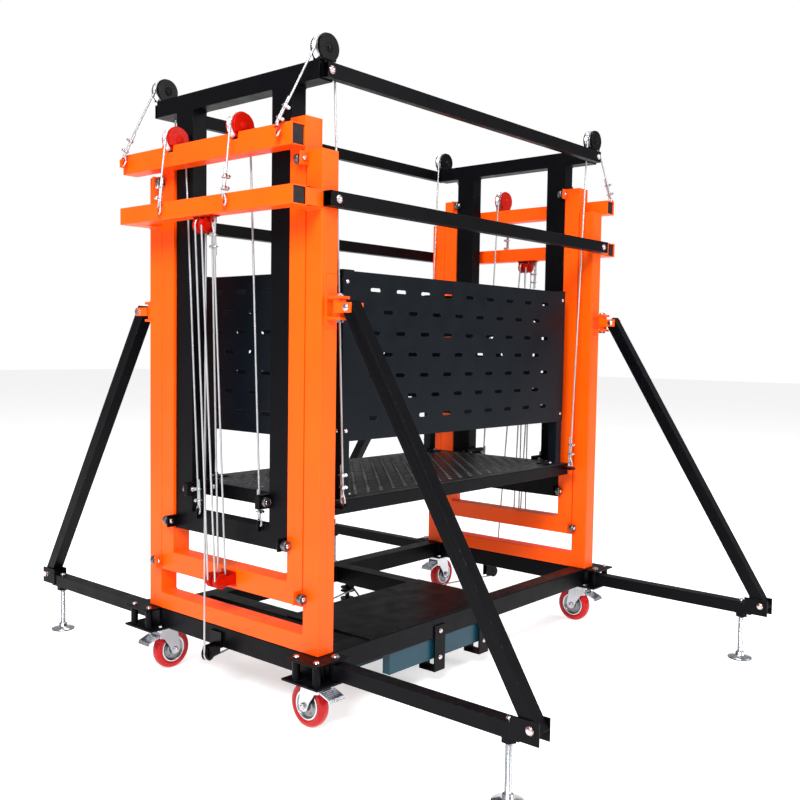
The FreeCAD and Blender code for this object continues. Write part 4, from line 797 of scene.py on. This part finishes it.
# ---- guide rollers ----
ROLLER_R = 14.0 * MM
ROLLER_WIDTH = 16.0 * MM
CARRIAGE_ROLLER_WIDTH = 12.5 * MM
TAB_HALF = 3.0 * MM         # half the thickness of a roller's tab
TAB_REACH = 16.0 * MM       # only the tab stands further than this from its roller's axle
HEAD = 5.0 * MM             # length of a bolt head


def guide_rollers(node, paint):
    """Frame-coloured tabs, dark bearing rollers and bright domed bolts."""
    b = Builder(node + "_bearings")
    for part in islands(node):
        guide_roller(b, part, paint)
    b.finish(BODY_OF[node], (node,))


def guide_roller(b, part, paint):
    """One roller. inner, outer and ends are distances across the mast from its middle."""
    sign = 1 if part.centre.y > 0 else -1
    inner, outer = sorted((abs(part.low.y), abs(part.high.y)))
    tab = [p.y for p in part.points if abs(p.z - part.centre.z) > TAB_REACH]
    if tab:
        tab_y = sum(tab) / len(tab)
        low = (part.low.x, tab_y - TAB_HALF, part.low.z)
        high = (part.high.x, tab_y + TAB_HALF, part.high.z)
        b.block(low, high, paint, 1.2 * MM)
        if abs(tab_y) < (inner + outer) / 2:
            ends = (outer - HEAD - ROLLER_WIDTH, outer - HEAD)
        else:
            ends = (inner + HEAD, inner + HEAD + ROLLER_WIDTH)
    else:
        ends = (outer - 2 * MM - CARRIAGE_ROLLER_WIDTH, outer - 2 * MM)
    far_x = max(abs(part.low.x), abs(part.high.x))
    near_x = min(abs(part.low.x), abs(part.high.x))
    reach = far_x - ROLLER_R if abs(part.centre.x) > MAST_X else near_x + ROLLER_R
    hub = Vector((math.copysign(reach, part.centre.x), sign * sum(ends) / 2, part.centre.z))
    bearing(b, hub, (ends[1] - ends[0]) / 2)
    for y, way in ((inner, -sign), (outer, sign)):
        room = min(abs(y - end) for end in ends)
        if room < 3 * MM:
            b.washer(Vector((hub.x, sign * (y - 2 * MM), hub.z)), Y * way, 8 * MM, 1.9 * MM, BOLT)
            continue
        seat = Vector((hub.x, sign * y - way * HEAD, hub.z))
        b.washer(seat, Y * way, 8.4 * MM, 1.2 * MM, DARK_STEEL)
        b.dome(seat + Y * way * 1.2 * MM, Y * way, 7.0 * MM, 4.0 * MM, BOLT)
    low = Vector((hub.x, min(sign * inner, sign * outer) + 4 * MM, hub.z))
    length = outer - inner - 7 * MM
    shank = [(4.6 * MM, 0, STEEL), (4.7 * MM, length / 2, STEEL), (4.6 * MM, length, STEEL)]
    b.lathe(shank, low, Y, 16)


def bearing(builder, hub, half):
    """A sealed roller bearing: blacked outer ring, rubber seals, bright inner ring."""
    side = [(5, 0, STEEL), (7, 0, RUBBER), (7.4, 0.7, RUBBER), (11, 0.7, DARK_STEEL),
            (11.4, 0, DARK_STEEL), (13.2, 0, DARK_STEEL), (14, 0.8, DARK_STEEL)]
    first = [(r * MM, -half + dip * MM, m) for r, dip, m in side]
    materials = [DARK_STEEL] + [m for _, _, m in reversed(side)][1:]
    second = [(r * MM, half - dip * MM, m) for (r, dip, _), m in zip(reversed(side), materials)]
    builder.lathe(first + second, hub, Y, 36)


# ---- casters ----
def caster(corner):
    """Wheel, fork and brake of one corner."""
    wheel_node = corner + "_wheel"
    part = islands(wheel_node)[0]
    axis = X if part.size.x < part.size.y else Y
    b = Builder(corner + "_turned_wheel")
    # one side of the wheel from its bore outward: radius, distance from the middle, material
    side = [(6.1, 20, STEEL), (9.5, 20, STEEL), (10, 19.4, RUBBER), (14.6, 18.6, RUBBER),
            (15, 11.5, RIM_GREY), (20, 10.2, RIM_GREY), (30, 9.2, RIM_GREY), (34, 9.6, RIM_GREY),
            (36.2, 14.6, ZINC), (38.4, 15.4, ZINC), (40.2, 15.2, ZINC), (41.2, 14.6, RUBBER),
            (42.4, 14.8, TYRE), (43.5, 16, TYRE), (51, 16.0, TYRE), (55.5, 15.2, TYRE),
            (59.5, 12.6, TYRE), (61.8, 8, TYRE), (62.45, 3.5, TYRE)]
    b.lathe(mirrored(side), part.centre, axis, 64, capped=False)
    along, up = across(axis)
    for way in (-1, 1):
        for place in circle(part.centre, 25 * MM, 6, along, up):
            b.washer(place + axis * way * 9.4 * MM, axis * way, 3.4 * MM, 1.0 * MM, DARK_STEEL)
    b.finish(BODY_OF[wheel_node], (wheel_node,))
    fork = corner + "_fork"
    dress(fork, ZINC, 1.0 * MM, 3)
    axle = Builder(corner + "_fork_bolts")
    for way in (-1, 1):
        face = part.centre + axis * way * FORK_FACE
        axle.washer(face, axis * way, 6.5 * MM, 1.0 * MM, BOLT)
        axle.dome(face + axis * way * 0.8 * MM, axis * way, 5.5 * MM, 2.6 * MM, BOLT)
    axle.finish(BODY_OF[fork])
    brake(corner, axis)


PEDAL_TOP = 0.1172
PEDAL_DROP = 13.0 * MM      # from the pedal's heel down to its first rib, at the toe
RIBS = 5
RIB_PITCH = 6.4 * MM


def brake(corner, axis):
    """The pressed brake pedal, with ribs across its tread."""
    node = corner + "_brake"
    dress(node, ZINC, 0.8 * MM, 3)
    low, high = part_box(node)
    heading = X if axis is Y else Y
    middle = (low + high) / 2
    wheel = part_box(corner + "_wheel")
    trail = 1 if (wheel[0] + wheel[1]).dot(heading) / 2 > middle.dot(heading) else -1
    toe = middle.dot(heading) - trail * (high - low).dot(heading) / 2
    size = axis * 21 * MM + heading * 1.3 * MM + Z * 1.4 * MM
    b = Builder(node + "_ribs")
    for k in range(RIBS):
        back = 8 * MM + RIB_PITCH * k
        place = middle + heading * (toe + trail * back - middle.dot(heading))
        place.z = PEDAL_TOP - PEDAL_DROP * (1 - k / 5.6) + 0.3 * MM
        b.block(place - size, place + size, PEDAL, 1.0 * MM)
    b.finish(BODY_OF[node])


# ---- outriggers, feet, fasteners ----
NUT_REACH = 31.0 * MM       # only nuts end further than this from a brace's middle; they get no
                            # domes, because they just clear the base when folded in
PLATE_REACH = 25.0 * MM     # only bolts stand further out than this


def plate_ends(obj, middle_x):
    """Plates the faces of a painted piece that belong to the heads and nuts at its sides."""
    obj.data.materials.append(BOLT)
    for face in obj.data.polygons:
        if max(abs(obj.data.vertices[v].co.x - middle_x) for v in face.vertices) > PLATE_REACH:
            face.material_index = len(obj.data.materials) - 1


def outrigger(corner):
    """Black leg and brace, orange swivel, and plated bolt ends."""
    node = corner + "_outrigger"
    parts = islands(node)
    swivel = max(parts, key=lambda p: p.centre.z if p.size.z < 0.1 else 0)

    def paint(island):
        return ORANGE if island is swivel else BLACK
    welded = island_piece(node + "_welded", parts, paint, BODY_OF[node],
                          1.2 * MM, (node,))
    brace = max(parts, key=lambda p: p.size.z)
    plate_ends(welded, brace.centre.x)
    b = Builder(node + "_bolts")
    for part in parts:
        if part is brace:
            continue
        for x, way in ((part.low.x, -1), (part.high.x, 1)):
            tips = [p for p in part.points if abs(p.x - x) < 0.5 * MM]
            tip = sum(tips, Vector()) / len(tips)
            if abs(x - brace.centre.x) > NUT_REACH:
                b.washer(tip - X * way * 8.0 * MM, X * way, 10.5 * MM, 1.4 * MM, BOLT)
                continue
            b.washer(tip - X * way * 5.2 * MM, X * way, 10.5 * MM, 1.4 * MM, BOLT)
            b.dome(tip - X * way * 3.8 * MM, X * way, 9.4 * MM, 4.6 * MM, BOLT)
    b.finish(BODY_OF[node])


SPINDLE_R = 8.2 * MM
THREAD_START = 28.0 * MM
THREAD_PITCH = 3.0 * MM
THREAD_TURNS = 57


def screw_foot(corner):
    """A threaded spindle on a domed pad with a rubber sole."""
    node = corner + "_foot"
    low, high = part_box(node)
    centre = Vector(((low.x + high.x) / 2, (low.y + high.y) / 2, 0))
    b = Builder(node + "_turned")
    b.lathe([(39 * MM, 0, RUBBER), (40 * MM, 1 * MM, RUBBER), (40 * MM, 3.4 * MM, ZINC),
             (39 * MM, 5 * MM, ZINC), (18 * MM, 9.5 * MM, ZINC), (15 * MM, 12 * MM, ZINC),
             (14 * MM, 21 * MM, ZINC), (11 * MM, 23 * MM, ZINC), (SPINDLE_R, 24 * MM, ZINC),
             (SPINDLE_R, 200 * MM, ZINC), (6.5 * MM, high.z, ZINC)], centre, Z, 40)
    loop = circle(centre + Z * THREAD_START, SPINDLE_R, 14, X, Y)
    path = [place + Z * THREAD_PITCH * (turn + k / len(loop))
            for turn in range(THREAD_TURNS) for k, place in enumerate(loop)]
    wire(b, path, 0.85 * MM, 5)
    b.finish(BODY_OF[node], (node,))


def fasteners(node):
    """Bolts, pins and plates of a node, plated except the carriage's parts over 40 mm long, which take
    the panels' paint, with softened edges.
    """
    def finish_of(island):
        if node == "carriage_hardware" and island.size.x > 40 * MM:
            return PANEL
        return ZINC if island.size.x > 60 * MM else BOLT
    island_piece(node + "_plated", islands(node), finish_of, BODY_OF[node],
                 0.5 * MM, (node,))


# ---- deck ----
TREAD_PITCH = 28.0 * MM
TREAD_HEIGHT = 1.4 * MM


def deck_tread():
    """Raised three-bar tread rolled into the deck plate."""
    low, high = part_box("deck_plate")
    b = Builder("deck_tread_bars")
    columns = int((high.x - low.x - 2 * TREAD_PITCH) / TREAD_PITCH)
    rows = int((high.y - low.y - 2 * TREAD_PITCH) / TREAD_PITCH)
    for i in range(columns):
        for j in range(rows):
            centre = Vector((low.x + TREAD_PITCH * (i + 1.5), low.y + TREAD_PITCH * (j + 1.5),
                             high.z - 0.1 * MM))
            lean = math.radians(45 if (i + j) % 2 else -45)
            run = Vector((math.cos(lean), math.sin(lean), 0))
            wide = Vector((-run.y, run.x, 0))
            for shift, half in ((-7.2, 8), (0, 11), (7.2, 8)):
                tread_bar(b, centre + wide * shift * MM, run * half * MM, wide * 2.2 * MM)
    b.finish("carriage")


def tread_bar(b, middle, run, wide):
    """A ridge with a diamond foot and a short crest; run and wide reach from its middle to its tips."""
    crest = [middle + run * 0.6 + Z * TREAD_HEIGHT, middle - run * 0.6 + Z * TREAD_HEIGHT]
    r = [b.mesh.verts.new(p) for p in (middle + run, middle + wide, middle - run, middle - wide)]
    c = [b.mesh.verts.new(p) for p in crest]
    for corners in ((r[0], r[1], c[0]), (r[1], c[1], c[0]), (r[1], r[2], c[1]),
                    (r[2], r[3], c[1]), (r[3], c[0], c[1]), (r[3], r[0], c[0])):
        face = b.mesh.faces.new(corners)
        face.material_index = b.slot(TREAD)


# ---- winch ----
def winch():
    """The winch body keeps its CAD shape, with cooling fins on its motor and bolts in its gear case."""
    dress("winch_body", TEAL, 1.5 * MM, 3)
    low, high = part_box("winch_drum")
    axis = Vector((0, (low.y + high.y) / 2, (low.z + high.z) / 2))
    motor_x = low.x - 160 * MM
    gear_face_x = high.x + 74 * MM
    b = Builder("winch_details")
    for out in circle(Vector(), 1.0, 16, Y, Z):
        fin = Matrix((X, X.cross(out), out)).transposed().to_4x4()
        fin.translation = axis + X * motor_x + out * 53.4 * MM
        b.block((0, -1.5 * MM, 0), (130 * MM, 1.5 * MM, 5.5 * MM), TEAL, 0.7 * MM, fin)
    for dy in (-48 * MM, 48 * MM):
        for dz in (-48 * MM, 48 * MM):
            b.hex(axis + X * gear_face_x + Y * dy + Z * dz, X, 10 * MM, 5 * MM, BOLT)
    b.finish("base")


# ---- painted shade in the crossbar ends, and welds ----
# The steel frames as built: distances from the middle of the platform along X, from the middle of
# a mast across it, and heights. The inner stage stands back behind its ropes.
TUBE = 60 * MM
MAST_FACE = 0.730
OUTER_UPRIGHT = (0.320, 0.380)
MIDDLE_UPRIGHT = (0.257, 0.317)
INNER_UPRIGHT = (0.174, 0.254)
INNER_BAR = (MAST_FACE - 58 * MM, MAST_FACE - 8 * MM)
OUTER_CROSSBAR_X = (0.785, 0.835)
MIDDLE_CROSSBAR_X = (MAST_FACE, 0.780)
OUTER_CROSSBAR_Z = (1.391, 1.441)
INNER_CROSSBAR_Z = 1.727
OUTER_BAR_TOP = 0.260
MIDDLE_BAR_TOP = 0.394
INNER_BAR_TOP = 0.531
MASTS = (("near", -1, (1.555, 1.614), 0.449), ("far", 1, (1.542, 1.592), 0.402))
GRIP = 1 * MM               # beads and the blocks of painted shade stop this far short of an upright's edge


def end_shade_fills():
    """Near-black blocks set a little way into the open ends of the crossbars, painting the shade inside
    the tubes.
    """
    for side, sign, crossbar_z, overhang in MASTS:
        outer = Builder(side + "_outer_shade_fills")
        middle = Builder(side + "_middle_shade_fills")
        for way in (-1, 1):
            # a half turn about Z carries the near mast onto the far one, so ends trade places
            reach = overhang if way > 0 else MIDDLE_UPRIGHT[1] - GRIP
            fill_bar_end(outer, -sign * way * OUTER_UPRIGHT[1], sign, OUTER_CROSSBAR_X, OUTER_CROSSBAR_Z)
            fill_bar_end(middle, -sign * way * reach, sign, MIDDLE_CROSSBAR_X, crossbar_z)
        outer.finish("base")
        middle.finish("middle_stage")


def fill_bar_end(builder, end_y, sign, bar_x, bar_z):
    """A near-black block of painted shade 10 mm deep, its face 4 mm inside a crossbar's end."""
    wall = 3.4 * MM
    back = end_y - math.copysign(14 * MM, end_y)
    face = end_y - math.copysign(4 * MM, end_y)
    xs = sorted(sign * x for x in bar_x)
    low = Vector((xs[0] + wall, min(back, face), bar_z[0] + wall))
    high = Vector((xs[1] - wall, max(back, face), bar_z[1] - wall))
    # the block's near-black colour is painted shade for the tube's open end
    builder.block(low, high, SHADE_FILL, 1.5 * MM)


def frame_beads():
    """Fillet beads where the crossbars and bars meet their uprights."""
    for side, sign, crossbar_z, _ in MASTS:
        face = sign * MAST_FACE
        back = face - sign * TUBE
        outer = Builder(side + "_outer_beads")
        middle = Builder(side + "_middle_beads")
        inner = Builder(side + "_inner_beads")
        for way in (-1, 1):
            outer_ys = [(OUTER_UPRIGHT[0] + GRIP) * way, (OUTER_UPRIGHT[1] - GRIP) * way]
            middle_ys = [(MIDDLE_UPRIGHT[0] + GRIP) * way, (MIDDLE_UPRIGHT[1] - GRIP) * way]
            for z in OUTER_CROSSBAR_Z:
                bead(outer, (face, outer_ys[0], z), (face, outer_ys[1], z), ORANGE)
            y = OUTER_UPRIGHT[0] * way
            bead(outer, (face, y, OUTER_BAR_TOP), (back, y, OUTER_BAR_TOP), ORANGE)
            y = MIDDLE_UPRIGHT[0] * way
            bead(middle, (face, y, MIDDLE_BAR_TOP), (back, y, MIDDLE_BAR_TOP), ORANGE)
            for z in crossbar_z[::-1]:
                bead(middle, (face, middle_ys[0], z), (face, middle_ys[1], z), ORANGE)
            for y, z in ((INNER_UPRIGHT[0], INNER_CROSSBAR_Z), (INNER_UPRIGHT[1], INNER_CROSSBAR_Z),
                         (INNER_UPRIGHT[0], INNER_BAR_TOP)):
                bead(inner, (sign * INNER_BAR[1], y * way, z), (sign * INNER_BAR[0], y * way, z), BLACK)
        outer.finish("base")
        middle.finish("middle_stage")
        inner.finish("inner_stage")


dress_frames()
dress("deck_plate", TREAD, 0.5 * MM)
for panel in ("front", "back", "near", "far"):
    dress(panel + "_guard_panel", PANEL, 0.5 * MM)
dress("guard_posts", PANEL, 3.0 * MM)
tackle_ropes()
run_ropes("front_middle_ropes", "base", 23.5)
run_ropes("front_inner_ropes", "middle_stage", 24.5)
run_ropes("rear_middle_ropes", "inner_stage", 16.6)
run_ropes("rear_inner_ropes", "carriage", 23.0)
lead_ropes()
drum()
for side in ("near", "far"):
    sheaves(side + "_middle_sheaves", SHEAVE_RED)
    sheaves(side + "_inner_sheaves", SHEAVE_BLACK)
sheave_irons("middle_hardware", SHEAVE_RED)
sheave_irons("inner_hardware", SHEAVE_BLACK)
blocks("upper_blocks")
blocks("lower_blocks")
guide_rollers("outer_guide_rollers", ORANGE)
guide_rollers("middle_guide_rollers", ORANGE)
guide_rollers("inner_guide_rollers", BLACK)
guide_rollers("carriage_guide_rollers", BLACK)
for corner in ("near_right", "near_left", "far_right", "far_left"):
    caster(corner)
    outrigger(corner)
    screw_foot(corner)
fasteners("base_fasteners")
fasteners("carriage_hardware")
deck_tread()
winch()
end_shade_fills()
frame_beads()


# ---- stage ----
AMBIENT = 0.36              # light of the white room on the object; the camera sees it as full white
FLOOR_HALF = 30
CAMERA_PLACE = (-2.464, -2.148, 1.038)
CAMERA_HEADING = (0.7565, 0.6515, -0.0566)
CAMERA_ROLL = 0.87
LENS = 42.6


def studio():
    """A white room: a pale floor, even light all round and three soft lamps."""
    floor = Builder("floor")
    corners = [(x * FLOOR_HALF, y * FLOOR_HALF, 0) for x, y in ((-1, -1), (1, -1), (1, 1), (-1, 1))]
    floor.mesh.faces.new([floor.mesh.verts.new(p) for p in corners])
    floor.slot(floor_material())
    floor.finish(None)
    world = bpy.data.worlds.new("studio")
    bpy.context.scene.world = world
    world.use_nodes = True
    tree = world.node_tree
    background = tree.nodes["Background"]
    background.inputs["Color"].default_value = (1, 1, 1, 1)
    seen = tree.nodes.new("ShaderNodeLightPath").outputs["Is Camera Ray"]
    level = tree.nodes.new("ShaderNodeMapRange")
    level.inputs["To Min"].default_value = AMBIENT
    level.inputs["To Max"].default_value = 1.0
    tree.links.new(seen, level.inputs["Value"])
    tree.links.new(level.outputs["Result"], background.inputs["Strength"])
    for name, place, target, size, power in (
        ("key", (-4.5, -2.5, 4.5), (0, 0, 0.9), 2.4, 530),
        ("side", (2.0, -5.5, 3.2), (0, 0, 0.8), 3.0, 165),
        ("top", (0.5, 0.5, 6.0), (0, 0, 0), 4.0, 160),
    ):
        data = bpy.data.lights.new(name, "AREA")
        data.size = size
        data.energy = power
        lamp = bpy.data.objects.new(name, data)
        lamp.location = place
        lamp.rotation_euler = (Vector(target) - Vector(place)).to_track_quat("-Z", "Y").to_euler()
        bpy.context.scene.collection.objects.link(lamp)


def camera():
    """The viewing angle: near mast at the left, front side at the right, close and low."""
    data = bpy.data.cameras.new("camera")
    data.sensor_width = 36.0
    data.lens = LENS
    obj = bpy.data.objects.new("camera", data)
    turn = Vector(CAMERA_HEADING).to_track_quat("-Z", "Y").to_matrix().to_4x4()
    roll = Matrix.Rotation(math.radians(CAMERA_ROLL), 4, "Z")
    obj.matrix_world = Matrix.Translation(CAMERA_PLACE) @ turn @ roll
    bpy.context.scene.collection.objects.link(obj)
    bpy.context.scene.camera = obj
    bpy.context.scene.view_settings.view_transform = "Standard"


studio()
camera()
